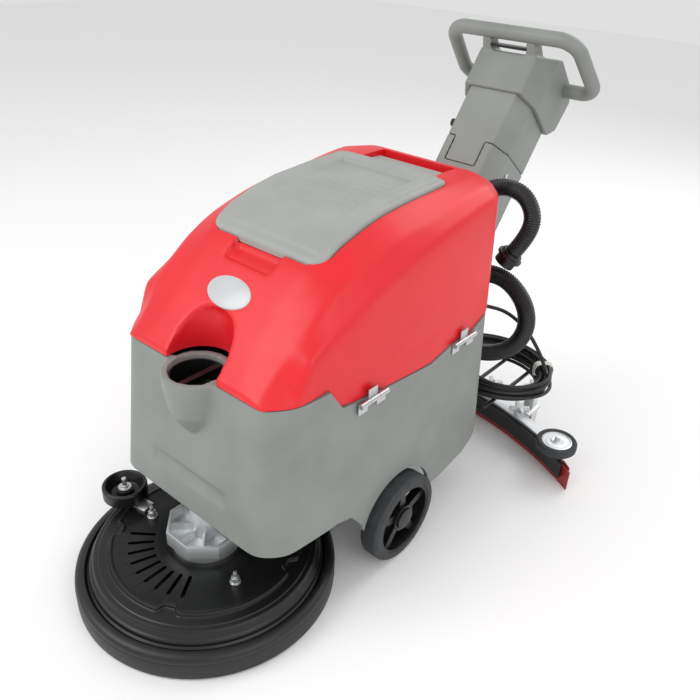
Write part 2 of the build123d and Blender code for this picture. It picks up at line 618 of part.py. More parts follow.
def badge_plate():
    """Plain oval plate on the slope ahead of the lid."""
    low, high = TANK_SECTIONS[2], TANK_SECTIONS[3]
    slope = degrees(atan2(high[2] - low[2], high[0] - low[0]))
    middle = Vector(0, (low[0] + high[0]) / 2 - 22.3, (low[2] + high[2]) / 2 - 20.4)
    tilted = Plane(origin=middle, x_dir=(1, 0, 0), z_dir=(0, -sin(radians(slope)), cos(radians(slope))))
    return extrude(tilted * Ellipse(52, 30), amount=1.4)


def hinge_leaf(low):
    """Leaves of both side hinges; low picks the fixed leaves, else the leaves on the red tank."""
    leaves = []
    third = HINGE_LEN / 3
    for y in HINGE_YS:
        spans = [(-1.5, -0.5), (0.5, 1.5)] if low else [(-0.5, 0.5)]
        leaf = Part()
        for a, b in spans:
            y0, y1 = y + a * third + FREE / 2, y + b * third - FREE / 2
            leaf += cyl_y(HINGE_X, y0, y1, HINGE_Z, HINGE_R + 2.5)
            z0, z1 = (HINGE_Z - 22, HINGE_Z) if low else (HINGE_Z, HINGE_Z + 22)
            leaf += block(HINGE_X - 5.5, HINGE_X - 3.5, y0, y1, z0, z1)
        bore = HINGE_R if low else HINGE_R + RUN_FIT
        leaves.append(leaf - cyl_y(HINGE_X, y - HINGE_LEN, y + HINGE_LEN, HINGE_Z, bore))
    return Compound(children=leaves)


def tank_hinge_pins():
    half = HINGE_LEN / 2
    return Compound(children=[cyl_y(HINGE_X, y - half, y + half, HINGE_Z, HINGE_R) for y in HINGE_YS])


# ---------------------------------------------------------------- column, pod and handle
UP_COLUMN = (0, sin(radians(LEAN)), cos(radians(LEAN)))
COLUMN = Plane(origin=(0, COLUMN_Y, COLUMN_Z), x_dir=(1, 0, 0), z_dir=UP_COLUMN)


def leaned(points):
    """Side-view points given as distance up the column and depth behind its front face."""
    s, c = sin(radians(LEAN)), cos(radians(LEAN))
    return [(COLUMN_Y + up * s + depth * c, COLUMN_Z + up * c - depth * s) for up, depth in points]


def column_prism(up0, up1, inset=0.0):
    half = [(COLUMN_FRONT_HALF - inset, inset), (COLUMN_HALF - inset, COLUMN_BEVEL),
            (COLUMN_HALF - inset, COLUMN_DEPTH - inset)]
    return extrude(COLUMN.offset(up0) * face_of(both_sides(half)), amount=up1 - up0)


def column_box(half, depth0, depth1, up0, up1):
    middle = Pos(0, (depth0 + depth1) / 2, (up0 + up1) / 2)
    return COLUMN.location * middle * Box(2 * half, depth1 - depth0, up1 - up0)


def column_bracket():
    """Lower part of the column, with a foot on the rear of the body and a slot for the neck's tongue."""
    post = column_prism(-236, TONGUE_LEN) & block(-100, 100, FOOT_Y, 700, 300, 900)
    foot = [(FOOT_Y, 330), (FOOT_Y, 560), (474, 434), (455, 376), (400, 330)]
    post += prism_x(foot, -COLUMN_HALF, COLUMN_HALF)
    inner = column_prism(-150, TONGUE_LEN - 6, COLUMN_WALL)
    post -= inner & block(-100, 100, FOOT_Y + COLUMN_WALL + 1, 700, 440, 900)
    post -= column_box(TONGUE_HALF + SEAM_CLEAR, -5, TONGUE_T + SEAM_CLEAR, -SEAM_CLEAR, TONGUE_LEN + 5)
    lever_y, lever_z = leaned([LEVER_AT])[0]
    return post + cyl_x(-COLUMN_HALF - 16, -COLUMN_HALF, lever_y, lever_z, PIN_R)


def column_neck():
    """Upper part of the column, with the tongue that fits into the bracket."""
    neck = column_prism(TONGUE_LEN + SEAM_CLEAR, POD_SOCKET)
    neck -= column_prism(TONGUE_LEN + SEAM_CLEAR + 5, POD_SOCKET + 10, COLUMN_WALL)
    return neck + column_box(TONGUE_HALF, 0, TONGUE_T, 0, TONGUE_LEN + SEAM_CLEAR)


def column_screws():
    """Two recessed socket screws on each side of the bracket."""
    screws = []
    for side in (-1, 1):
        for up, depth in SCREW_AT:
            y, z = leaned([(up, depth)])[0]
            x = side * COLUMN_HALF
            screws.append(cyl_x(min(x, x + side * 2.5), max(x, x + side * 2.5), y, z, 6))
    return Compound(children=screws)


POD_SIDE = [(185, -8), (275, -10), POD_CROWN, POD_REAR, (277, 197), (200, 190), (172, 160)]


def control_pod():
    """Hood at the top of the column that carries the controls, with two webs to the ring handle."""
    hood = prism_x(leaned(POD_SIDE), -POD_HALF, POD_HALF)
    half = [(POD_FRONT_HALF, -14), (POD_HALF, 50), (POD_HALF, 230)]
    hood &= extrude(COLUMN.offset(120) * face_of(both_sides(half)), amount=240)
    hood -= column_prism(120, POD_SOCKET)
    hood -= column_box(60, 20, 140, POD_SOCKET - 1, 262)
    for side in (-1, 1):
        web = prism_x(leaned([(268, -4), (296, 34), (318, -26), (300, -44)]), side * 57 - 12, side * 57 + 12)
        hood += web
    hood -= ring_solid()
    y, z = leaned([PADDLE_AT])[0]
    hood -= cyl_x(-PADDLE_HALF - 8, PADDLE_HALF + 8, y, z, 3 + RUN_FIT)
    for x in SWITCH_XS:
        hood -= on_panel(x, SWITCH_ALONG, -7, 3, SWITCH_HALF, 18)
    return hood


def ring_solid():
    """Closed ring handle round the pod: top bar, two side bars and returns into the pod's sides."""
    (tx, ty, tz), (lx, ly, lz) = RING_TOP, RING_LOW
    half = [(POD_HALF, ly, lz), (lx, ly, lz), (tx, ty, tz)]
    points = half + [(-x, y, z) for x, y, z in half[::-1]]
    radii = [RING_LOW_BEND, RING_TOP_BEND, RING_TOP_BEND, RING_LOW_BEND]
    return bent_tube(points, RING_R, radii)[0]


# The panel's face runs from the pod's crown to its rear edge; along is measured from the crown.
def panel_location(x, along, lift):
    (y0, z0), (y1, z1) = leaned([POD_CROWN, POD_REAR])
    run = Vector(0, y1 - y0, z1 - z0).normalized()
    out = Vector(1, 0, 0).cross(run)
    origin = Vector(x, y0, z0) + run * along + out * lift
    return Plane(origin=origin, x_dir=(1, 0, 0), z_dir=out).location


def on_panel(x, along, low, high, half_x, half_along):
    return panel_location(x, along, (low + high) / 2) * Box(2 * half_x, 2 * half_along, high - low)


def control_panel():
    """Plate on the pod's rear face with an hour meter and windows for the switches."""
    plate = on_panel(0, 54, 0, 3, 72, 46) + on_panel(-42, 34, 3, 8, 20, 12)
    for x in SWITCH_XS:
        plate -= on_panel(x, SWITCH_ALONG, -2, 5, SWITCH_HALF, 18)
    return plate - panel_location(KEY_X, KEY_ALONG, 0) * Cylinder(9 + FREE, 20)


def rocker_switch(x):
    """Rocker with its pin across it."""
    pin = panel_location(x, SWITCH_ALONG, 0) * Rot(0, 90, 0) * Cylinder(2.5, 2 * (SWITCH_HALF - FREE))
    return on_panel(x, SWITCH_ALONG, -4, 8, SWITCH_HALF - 2, 15) + pin


def key_switch():
    barrel = panel_location(KEY_X, KEY_ALONG, 6.25) * Cylinder(9, 11.5)
    return barrel + on_panel(KEY_X, KEY_ALONG, 11, 30, 2, 9)


def drive_paddle():
    """Dead-man paddle between the webs, under the top bar."""
    up, depth = PADDLE_AT
    s, g = (0.604, 0.797), (0.797, -0.604)
    corners = [(up + a * s[0] + b * g[0], depth + a * s[1] + b * g[1])
               for a, b in ((-5, -2.5), (-5, 2.5), (26, 2.5), (26, -2.5))]
    y, z = leaned([PADDLE_AT])[0]
    plate = prism_x(leaned(corners), -PADDLE_HALF, PADDLE_HALF)
    return plate + cyl_x(-PADDLE_HALF - 6, PADDLE_HALF + 6, y, z, 3)


def squeegee_lever():
    """Lift lever on the column's side, with a round grip."""
    up, depth = LEVER_AT
    x1 = -COLUMN_HALF - 4
    arm = prism_x(leaned([(up - 12, depth - 9), (up - 12, depth + 9), (up + LEVER_LEN, depth + 6),
                          (up + LEVER_LEN, depth - 6)]), x1 - 8, x1)
    y, z = leaned([(up + LEVER_LEN - 6, depth)])[0]
    arm += cyl_x(x1 - 34, x1, y, z, 10)
    y, z = leaned([LEVER_AT])[0]
    return arm - cyl_x(-200, 0, y, z, PIN_R + RUN_FIT)


def deck_pedal():
    """Foot pedal at the rear that lifts the brush deck."""
    arm = prism_x([(PEDAL_Y - 12, PEDAL_Z - 12), (PEDAL_Y - 12, PEDAL_Z + 12), (PEDAL_Y + 12, PEDAL_Z + 12),
                   (PEDAL_Y + 74, PEDAL_Z - 42), (PEDAL_Y + 66, PEDAL_Z - 52)], -156, -146)
    pad = block(-172, -128, PEDAL_Y + 62, PEDAL_Y + 106, PEDAL_Z - 52, PEDAL_Z - 42)
    return arm + pad - cyl_x(-200, -100, PEDAL_Y, PEDAL_Z, PIN_R + RUN_FIT)


# ---------------------------------------------------------------- squeegee
def bow_strip(bow, offset, thick, half, z0, z1):
    """Strip bent to a bow, from offset outside its radius, cut off at half the width."""
    y, r = bow
    strip = cyl_z(0, y, z0, z1, r + offset + thick) - cyl_z(0, y, z0 - 1, z1 + 1, r + offset)
    return strip & block(-half, half, 300, 800, z0, z1)


def front_blade():
    return bow_strip(FRONT_BOW, 0, BLADE_T, SQ_HALF, 0, BLADE_H)


def rear_blade():
    return bow_strip(REAR_BOW, 0, BLADE_T, SQ_HALF - 8, 0, BLADE_H)


def squeegee_strip():
    """Dark bumper strip that clamps the front blade."""
    return bow_strip(FRONT_BOW, -10, 9.7, SQ_HALF - 26, 20, BAR_Z - 0.3)


def squeegee_bar():
    """Bright cast bar over the blades, with the suction nozzle, roller pins and rear wheel brackets."""
    (fy, fr), (ry, rr) = FRONT_BOW, REAR_BOW
    z0, z1 = BAR_Z, BAR_Z + BAR_T
    bar = cyl_z(0, ry, z0, z1, rr - 0.3) - cyl_z(0, fy, z0 - 1, z1 + 1, fr + 0.3)
    bar &= block(-SQ_HALF + 30, SQ_HALF - 30, 300, 800, z0, z1)
    bar += cyl_z(0, SWING_Y, z0, NOZZLE_TOP, NOZZLE_R)
    bar -= cyl_z(0, SWING_Y, z0 - 1, NOZZLE_TOP + 1, NOZZLE_R - 3)
    for side in (-1, 1):
        bar += cyl_z(side * ROLLER_X, ROLLER_Y, z0, ROLLER_Z + ROLLER_T + 10, PIN_R)
        x = side * ROLLER_X
        bar += block(x - 12, x + 12, ROLLER_Y - 12, ROLLER_Y + 14, z0, z1)
        x, y = side * SUPPORT_X, SUPPORT_Y
        bar += block(x - 22, x + 22, y - 46, y + 18, z0, z1)
        for cheek in (-15, 15):
            bar += block(x + cheek - 2, x + cheek + 2, y - 16, y + 16, SUPPORT_Z - 12, z0 + 2)
        bar += block(x - 13, x + 13, y - 12, y + 12, z1, z1 + 42)
        bar += cyl_x(x - 16, x + 16, y, SUPPORT_Z, 4)
        bar += cyl_z(x, KNOB_BAR_Y, z1, z1 + 2, 14) + cyl_z(side * CLAMP_X, CLAMP_Y, z1, CLAMP_Z + 22, 4)
        bar += cyl_z(side * CLAMP_X, CLAMP_Y, z1, CLAMP_Z - FREE, 15)
    return bar


def squeegee_arm():
    """Arm from the frame's pivot to the swivel collar round the nozzle."""
    arm = block(-26, 26, SQ_PIVOT_Y - 12, SWING_Y - 20, SQ_PIVOT_Z - 12, SQ_PIVOT_Z + 12)
    arm += cyl_z(0, SWING_Y, SQ_PIVOT_Z - 12, SQ_PIVOT_Z + 12, NOZZLE_R + 10)
    arm += cyl_z(0, SWING_Y, SQ_PIVOT_Z + 12, HOSE_LOW + 22, HOSE_R + 5)
    arm -= cyl_z(0, SWING_Y, 60, NOZZLE_TOP + FREE, NOZZLE_R + RUN_FIT)
    arm -= cyl_z(0, SWING_Y, 60, 300, HOSE_R + RUN_FIT)
    return arm - cyl_x(-60, 60, SQ_PIVOT_Y, SQ_PIVOT_Z, PIN_R + RUN_FIT)


def squeegee_roller():
    """End roller: soft tyre on a flat disc."""
    roller = cyl_z(ROLLER_X, ROLLER_Y, ROLLER_Z, ROLLER_Z + ROLLER_T, ROLLER_R)
    return roller - cyl_z(ROLLER_X, ROLLER_Y, 0, 200, PIN_R + RUN_FIT)


def support_wheel():
    """Small wheel behind the blades that sets their height."""
    wheel = cyl_x(SUPPORT_X - 9, SUPPORT_X + 9, SUPPORT_Y, SUPPORT_Z, SUPPORT_R)
    return wheel - cyl_x(SUPPORT_X - 20, SUPPORT_X + 20, SUPPORT_Y, SUPPORT_Z, 4 + RUN_FIT)


def star_knob(x, y, z):
    """Four-armed hand knob standing on its threaded stud."""
    knob = cyl_z(x, y, z, z + 12, 12) + cyl_z(x, y, z + 12, z + 24, 10)
    for i in range(4):
        arm = Pos(x, y, 0) * Rot(0, 0, 45 + 90 * i) * block(6, KNOB_R, -4.5, 4.5, z + 13, z + 24)
        knob += arm
    return knob


def clamp_knob():
    return star_knob(CLAMP_X, CLAMP_Y, CLAMP_Z) - cyl_z(CLAMP_X, CLAMP_Y, 0, CLAMP_Z + 30, 4 + RUN_FIT)


def blade_knobs():
    """Knobs that hold the blades and set the rear wheels, two of each."""
    z = BAR_Z + BAR_T
    places = ((KNOB_BAR_Y, z + 2), (SUPPORT_Y, z + 42))
    return Compound(children=[star_knob(side * SUPPORT_X, y, base) for side in (-1, 1) for y, base in places])


# ---------------------------------------------------------------- hoses and cord
SUCTION_ROUTE = [(150, 336, 512), (150, 384, 512), (196, 424, 498), (246, 436, 450), (264, 438, 390),
                 (240, 436, 326), (186, 432, 288), (122, 434, 272), (60, 446, 268), (4, 474, 258),
                 (-32, 514, 244), (-34, 558, 226), (0, SWING_Y, 196), (0, SWING_Y, HOSE_LOW + 2)]
DRAIN_ROUTE = [(120, 336, 684), (120, 384, 688), (150, 424, 703), (200, 434, 696), (233, 432, 655),
               (228, 428, 606), (206, 418, 566)]
CORD_ROUTE = [(85, 430, 400), (115, 430, 400), (146, 450, 398), (188, 478, 388), (242, 488, 356),
              (280, 486, 310), (298, 506, 266), (298, 506, COIL_Z + COIL_H)]


def hose(route, radius, share=0.45):
    return bent_tube(route, radius, route_radii(route, share))


def cord_coil():
    """Outer shape of the wound power cord."""
    ring = Ellipse(*COIL_OUT) - Ellipse(COIL_OUT[0] - COIL_BAND, COIL_OUT[1] - COIL_BAND)
    return Pos(COIL_X, COIL_Y, COIL_Z) * extrude(ring, amount=COIL_H)


def cord_tie():
    """White band round one side of the coil."""
    angle = TIE_ANGLE
    x = COIL_X + (COIL_OUT[0] - COIL_BAND / 2) * cos(radians(angle))
    y = COIL_Y + (COIL_OUT[1] - COIL_BAND / 2) * sin(radians(angle))
    band = Pos(x, y, COIL_Z + COIL_H / 2) * Rot(0, 0, angle) * Box(COIL_BAND + 14, 22, COIL_H + 6)
    return band - cord_coil()


def cord_plug():
    """Mains plug lying on the coil."""
    x, y, z = PLUG_AT
    body = Pos(x, y, z) * Rot(0, 90, 0) * Cone(16, 9, 44)
    for side in (-1, 1):
        body += cyl_x(x - 22 - 18, x - 22, y + side * 7, z, 2.4)
    return body


def cord_gland():
    """Tapered strain relief on the column's foot."""
    x, y, z = CORD_ROUTE[0]
    gland = Pos(x + 12, y, z) * Rot(0, 90, 0) * Cone(11, 7, 24)
    return gland - hose(CORD_ROUTE, CORD_R)[0]


def suction_cuff():
    """Smooth cuff where the suction hose pushes onto the tank's outlet."""
    x, y, z = SUCTION_ROUTE[0]
    return cyl_y(x, y + 2, y + 40, z, HOSE_R + 5) - hose(SUCTION_ROUTE, HOSE_R)[0]


def drain_cap():
    """Round cap that closes the drain hose."""
    a, b = Vector(*DRAIN_ROUTE[-2]), Vector(*DRAIN_ROUTE[-1])
    down = (b - a).normalized()
    end = Plane(origin=b + down * FREE, z_dir=down)
    cap = extrude(end * Circle(24), amount=34) + extrude(end.offset(8) * Circle(30), amount=8)
    return cap


# ---------------------------------------------------------------- every node of the machine
NODES = {
    "solution_tank": solution_tank, "fill_strainer": fill_strainer, "vacuum_motor": vacuum_motor,
    "chassis_frame": chassis_frame, "wheel_axle": wheel_axle, "drain_valve": drain_valve,
    "tyre_left": wheel_tyre, "tyre_right": lambda: mirrored(wheel_tyre()),
    "hub_left": wheel_hub, "hub_right": lambda: mirrored(wheel_hub()),
    "caster_fork": caster_fork, "caster_wheel": caster_wheel,
    "deck_cover": deck_cover, "deck_skirt": deck_skirt, "deck_studs": deck_studs,
    "gearbox_housing": gearbox_housing, "deck_arms": deck_arms, "bumper_roller": bumper_roller,
    "brush_disc": brush_disc, "brush_bristles": brush_bristles,
    "recovery_tank": recovery_tank, "badge_plate": badge_plate, "lid_hinge_pin": lid_hinge_pin,
    "recovery_lid": recovery_lid, "lower_hinge_leaves": lambda: hinge_leaf(True),
    "upper_hinge_leaves": lambda: hinge_leaf(False), "tank_hinge_pins": tank_hinge_pins,
    "column_bracket": column_bracket, "column_neck": column_neck, "column_screws": column_screws,
    "control_pod": control_pod, "ring_handle": ring_solid, "control_panel": control_panel,
    "brush_switch": lambda: rocker_switch(SWITCH_XS[0]),
    "vacuum_switch": lambda: rocker_switch(SWITCH_XS[1]),
    "key_switch": key_switch, "drive_paddle": drive_paddle, "squeegee_lever": squeegee_lever,
    "deck_pedal": deck_pedal, "squeegee_arm": squeegee_arm, "squeegee_bar": squeegee_bar,
    "front_blade": front_blade, "rear_blade": rear_blade, "squeegee_strip": squeegee_strip,
    "squeegee_roller_left": squeegee_roller, "squeegee_roller_right": lambda: mirrored(squeegee_roller()),
    "support_wheel_left": support_wheel, "support_wheel_right": lambda: mirrored(support_wheel()),
    "clamp_knob_left": clamp_knob, "clamp_knob_right": lambda: mirrored(clamp_knob()),
    "blade_knobs": blade_knobs,
    "suction_hose": lambda: hose(SUCTION_ROUTE, HOSE_R)[0], "suction_cuff": suction_cuff,
    "drain_hose": lambda: hose(DRAIN_ROUTE, DRAIN_R)[0], "drain_cap": drain_cap,
    "power_cord": lambda: hose(CORD_ROUTE, CORD_R)[0],
    "cord_coil": cord_coil, "cord_tie": cord_tie, "cord_plug": cord_plug,
    "cord_gland": cord_gland,
}

if __name__ == "__main__":
    for name, make in NODES.items():
        shape = Pos(0, -MID_Y, 0) * make()
        shape.label = name
        export_step(shape, f"parts/{name}.step")
    for name, route, radius in (("suction hose", SUCTION_ROUTE, HOSE_R), ("drain hose", DRAIN_ROUTE, DRAIN_R),
                                ("power cord", CORD_ROUTE, CORD_R)):
        tube, length = hose(route, radius)
        print(name, "length", round(length), "volume over section x length",
              round(tube.volume / (pi * radius ** 2 * length), 4),
              "arc radii", [round(r) for r in route_radii(route)])
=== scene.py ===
import json
from math import cos, sin, radians, pi

import bmesh
import bpy
import numpy as np
from bpy.props import FloatProperty, FloatVectorProperty, IntProperty, StringProperty
from mathutils import Matrix, Vector


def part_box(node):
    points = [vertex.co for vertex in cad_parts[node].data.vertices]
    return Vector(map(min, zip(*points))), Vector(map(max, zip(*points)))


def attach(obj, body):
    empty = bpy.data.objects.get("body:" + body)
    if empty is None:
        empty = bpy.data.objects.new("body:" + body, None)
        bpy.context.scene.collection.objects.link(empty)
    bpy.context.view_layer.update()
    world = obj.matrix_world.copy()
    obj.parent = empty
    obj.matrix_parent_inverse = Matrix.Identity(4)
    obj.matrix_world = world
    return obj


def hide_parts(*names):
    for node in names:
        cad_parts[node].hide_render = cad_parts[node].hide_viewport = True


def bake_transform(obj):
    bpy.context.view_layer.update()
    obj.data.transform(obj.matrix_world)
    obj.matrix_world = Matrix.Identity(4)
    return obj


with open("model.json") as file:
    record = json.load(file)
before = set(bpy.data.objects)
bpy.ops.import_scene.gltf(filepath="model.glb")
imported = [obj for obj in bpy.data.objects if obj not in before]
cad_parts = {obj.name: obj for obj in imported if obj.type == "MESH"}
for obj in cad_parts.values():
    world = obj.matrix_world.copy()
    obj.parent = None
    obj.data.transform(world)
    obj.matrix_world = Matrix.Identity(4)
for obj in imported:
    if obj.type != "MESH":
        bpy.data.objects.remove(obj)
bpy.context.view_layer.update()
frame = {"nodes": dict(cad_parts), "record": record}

bl_info = {
    "name": "Floor scrubber",
    "version": (1, 0, 0),
    "blender": (4, 5, 0),
    "location": "View3D > Sidebar > Floor Scrubber",
    "description": "Surfaces and finishes of a walk-behind floor scrubber",
    "category": "Add Mesh",
}

MM = 0.001
AXLE_Y = sum(v[1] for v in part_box("wheel_axle")) / 2      # the drive axle, from which lengths run fore and aft


def linear(code):
    """sRGB hex colour as a linear RGBA tuple."""
    parts = [int(code[i:i + 2], 16) / 255 for i in (1, 3, 5)]
    return tuple(c / 12.92 if c <= 0.04045 else ((c + 0.055) / 1.055) ** 2.4 for c in parts) + (1.0,)


def add(tree, kind, settings=(), **inputs):
    """Adds a node, sets its settings, and gives each named input a value or a link."""
    node = tree.nodes.new(kind)
    for key, value in dict(settings).items():
        setattr(node, key, value)
    for key, value in inputs.items():
        socket = node.inputs[key.replace("_", " ")] if key.replace("_", " ") in node.inputs else node.inputs[key]
        if isinstance(value, bpy.types.NodeSocket):
            tree.links.new(value, socket)
        else:
            socket.default_value = value
    return node


def empty_material(name):
    """A material with only its output, and the node tree to build it in."""
    made = bpy.data.materials.new(name)
    made.use_nodes = True
    made.node_tree.nodes.clear()
    return made, made.node_tree


def ramp(tree, factor, stops):
    """Colour ramp from pairs of position and hex colour."""
    node = add(tree, "ShaderNodeValToRGB", Fac=factor)
    elements = node.color_ramp.elements
    for element, (position, code) in zip(elements, stops):
        element.position = position
        element.color = linear(code)
    for position, code in stops[2:]:
        elements.new(position).color = linear(code)
    return node.outputs["Color"]


def finish_shader(tree, shader):
    add(tree, "ShaderNodeOutputMaterial", Surface=shader.outputs["BSDF"])


def object_point(tree, scale=(1, 1, 1)):
    """Object coordinates, stretched by scale."""
    where = add(tree, "ShaderNodeTexCoord")
    return add(tree, "ShaderNodeMapping", Vector=where.outputs["Object"], Scale=scale).outputs["Vector"]


def noise(tree, grain_mm, detail=2.0, scale=(1, 1, 1)):
    """Noise whose lumps are about grain_mm apart."""
    node = add(tree, "ShaderNodeTexNoise", Vector=object_point(tree, scale), Scale=1 / (grain_mm * MM), Detail=detail)
    return node.outputs["Fac"]


def moulded(name, low, high, roughness, grain_mm, depth_mm, mottle_mm=90.0, coat=0.0):
    """Moulded thermoplastic: faint colour drift over mottle_mm, and a grain pressed in by the tool."""
    made, tree = empty_material(name)
    colour = ramp(tree, noise(tree, mottle_mm), [(0.3, low), (0.7, high)])
    dull = add(tree, "ShaderNodeMapRange", Value=noise(tree, 35.0, 4.0), To_Min=roughness - 0.05, To_Max=roughness + 0.06)
    grain = add(tree, "ShaderNodeBump", Height=noise(tree, grain_mm, 3.0), Strength=0.35, Distance=depth_mm * MM)
    shader = add(tree, "ShaderNodeBsdfPrincipled", Base_Color=colour, Roughness=dull.outputs["Result"],
                 IOR=1.5, Normal=grain.outputs["Normal"])
    shader.inputs["Coat Weight"].default_value = coat
    shader.inputs["Coat Roughness"].default_value = 0.25
    finish_shader(tree, shader)
    return made


def rubber(name, low, high, roughness, grain_mm):
    """Vulcanised rubber: dull, with a dusty bloom where the noise is high."""
    made, tree = empty_material(name)
    colour = ramp(tree, noise(tree, 22.0, 5.0), [(0.35, low), (0.8, high)])
    grain = add(tree, "ShaderNodeBump", Height=noise(tree, grain_mm, 4.0), Strength=0.4, Distance=0.4 * MM)
    shader = add(tree, "ShaderNodeBsdfPrincipled", Base_Color=colour, Roughness=roughness, IOR=1.52,
                 Normal=grain.outputs["Normal"])
    finish_shader(tree, shader)
    return made


def metal(name, low, high, roughness, grain_mm, depth_mm, stretch=(1, 1, 1)):
    """Bare metal: colour and polish vary with a grain that stretch draws out into brushing."""
    made, tree = empty_material(name)
    speck = noise(tree, grain_mm, 4.0, stretch)
    colour = ramp(tree, speck, [(0.3, low), (0.7, high)])
    dull = add(tree, "ShaderNodeMapRange", Value=speck, To_Min=roughness - 0.08, To_Max=roughness + 0.1)
    grain = add(tree, "ShaderNodeBump", Height=speck, Strength=0.5, Distance=depth_mm * MM)
    shader = add(tree, "ShaderNodeBsdfPrincipled", Base_Color=colour, Metallic=0.85,
                 Roughness=dull.outputs["Result"], Normal=grain.outputs["Normal"])
    finish_shader(tree, shader)
    return made


# Each finish by the record's slot. Grains finer than half a millimetre are drawn that coarse, so they show.
def red_polyethylene():
    """Rotomoulded polyethylene, red: waxy sheen and a faint orange peel."""
    return moulded("rotomoulded polyethylene red", "#D9131F", "#E01824", 0.4, 2.2, 0.12)


def grey_polyethylene():
    """Rotomoulded polyethylene, stone grey."""
    return moulded("rotomoulded polyethylene grey", "#7E827E", "#878B86", 0.46, 2.2, 0.14)


def lid_abs():
    """Injection-moulded ABS, light grey, spark-eroded texture."""
    return moulded("ABS light grey", "#969995", "#9EA19C", 0.48, 0.9, 0.08)


def column_abs():
    """Injection-moulded ABS, mid grey."""
    return moulded("ABS mid grey", "#858985", "#8D918C", 0.47, 0.9, 0.08)


def handle_foam():
    """Integral-skin polyurethane, mid grey."""
    return moulded("integral-skin polyurethane grey", "#7F837F", "#888C87", 0.5, 0.8, 0.08)


def black_polypropylene():
    """Polypropylene, black, with a fine leather grain."""
    return moulded("polypropylene black", "#060607", "#0C0D0E", 0.36, 1.3, 0.12)


def powder_coat():
    """Powder-coated steel, black, with orange peel."""
    return moulded("powder-coated steel black", "#0A0B0C", "#111213", 0.36, 1.6, 0.1)


def gloss_black():
    """Polished ABS, black, as on rocker switches."""
    return moulded("polished ABS black", "#08090A", "#0C0D0E", 0.16, 3.0, 0.02)


def printed_plate():
    """Anodised plate, dark, left plain."""
    return moulded("anodised plate dark", "#1D2023", "#24272A", 0.33, 0.7, 0.03)


def silver_plate():
    """Polyester label, silver white, left plain."""
    return moulded("polyester label silver", "#B9BBBD", "#C2C4C5", 0.25, 1.5, 0.02, coat=0.4)


def tyre_rubber():
    """Non-marking rubber, dark grey."""
    return rubber("non-marking rubber grey", "#2C2F31", "#3A3D3F", 0.66, 0.9)


def skirt_rubber():
    """EPDM rubber, black."""
    return rubber("EPDM rubber black", "#07080A", "#101214", 0.42, 1.0)


def blade_rubber():
    """Natural gum rubber, red, cut from sheet."""
    return rubber("natural rubber red", "#9C2A2C", "#AE3234", 0.45, 0.9)


def cord_pvc():
    """PVC cord sheath, black."""
    return rubber("PVC cord sheath black", "#070708", "#0D0E0F", 0.4, 1.2)


def hose_eva():
    """EVA hose, black, waxy."""
    return rubber("EVA hose black", "#08090A", "#101112", 0.38, 1.6)


def cast_aluminium():
    """Die-cast aluminium, tumbled: bright, with a fine pebble."""
    return metal("die-cast aluminium", "#CDD0D2", "#E6E8E9", 0.45, 1.1, 0.12)


def stainless_steel():
    """Stainless steel, brushed along the machine."""
    return metal("stainless steel brushed", "#B8BABB", "#D2D3D3", 0.28, 0.6, 0.02, (1, 0.08, 1))


def brass():
    """Turned brass."""
    return metal("brass turned", "#B98A4A", "#D0A566", 0.3, 0.8, 0.02)


def nylon_bristle():
    """Nylon bristle: thin vertical streaks, about 1.5 mm apart."""
    made, tree = empty_material("nylon bristle dark")
    streak = noise(tree, 1.5, 2.0, (1, 1, 0.04))
    colour = ramp(tree, streak, [(0.35, "#0C0D0F"), (0.65, "#2C2F33")])
    rib = add(tree, "ShaderNodeBump", Height=streak, Strength=0.9, Distance=1.0 * MM)
    shader = add(tree, "ShaderNodeBsdfPrincipled", Base_Color=colour, Roughness=0.45, IOR=1.53,
                 Normal=rib.outputs["Normal"])
    finish_shader(tree, shader)
    return made


def cotton_tape():
    """Cotton tape, white: plain weave with threads 1 mm apart."""
    made, tree = empty_material("cotton tape white")
    point = object_point(tree)
    wave = add(tree, "ShaderNodeTexWave", Vector=point, Scale=160.0, Distortion=1.0)
    colour = ramp(tree, wave.outputs["Fac"], [(0.2, "#C9C8C2"), (0.8, "#E8E7E2")])
    rib = add(tree, "ShaderNodeBump", Height=wave.outputs["Fac"], Strength=0.6, Distance=0.4 * MM)
    shader = add(tree, "ShaderNodeBsdfPrincipled", Base_Color=colour, Roughness=0.85, Normal=rib.outputs["Normal"])
    shader.inputs["Sheen Weight"].default_value = 0.3
    finish_shader(tree, shader)
    return made


FINISHES = {
    "red_shell": red_polyethylene, "grey_shell": grey_polyethylene, "lid_grey": lid_abs,
    "column_grey": column_abs, "handle_grey": handle_foam, "black_plastic": black_polypropylene,
    "black_steel": powder_coat, "stainless": stainless_steel, "cast_aluminium": cast_aluminium,
    "tyre_rubber": tyre_rubber, "skirt_rubber": skirt_rubber,
    "blade_rubber": blade_rubber, "bristle_nylon": nylon_bristle, "hose_black": hose_eva,
    "cord_black": cord_pvc, "tie_white": cotton_tape, "brass_fitting": brass, "badge_silver": silver_plate,
    "switch_black": gloss_black, "panel_face": printed_plate,
}
made_finishes = {}


def finish(slot):
    """The material for a slot, made once."""
    if slot not in made_finishes:
        made_finishes[slot] = FINISHES[slot]()
    return made_finishes[slot]


# ------------------------------------------------------------------------------ numpy surfaces and solids
def place(points):
    """Millimetre points with y from the axle, as metres in the machine's frame."""
    points = np.asarray(points, float) * MM
    points[..., 1] += AXLE_Y
    return points


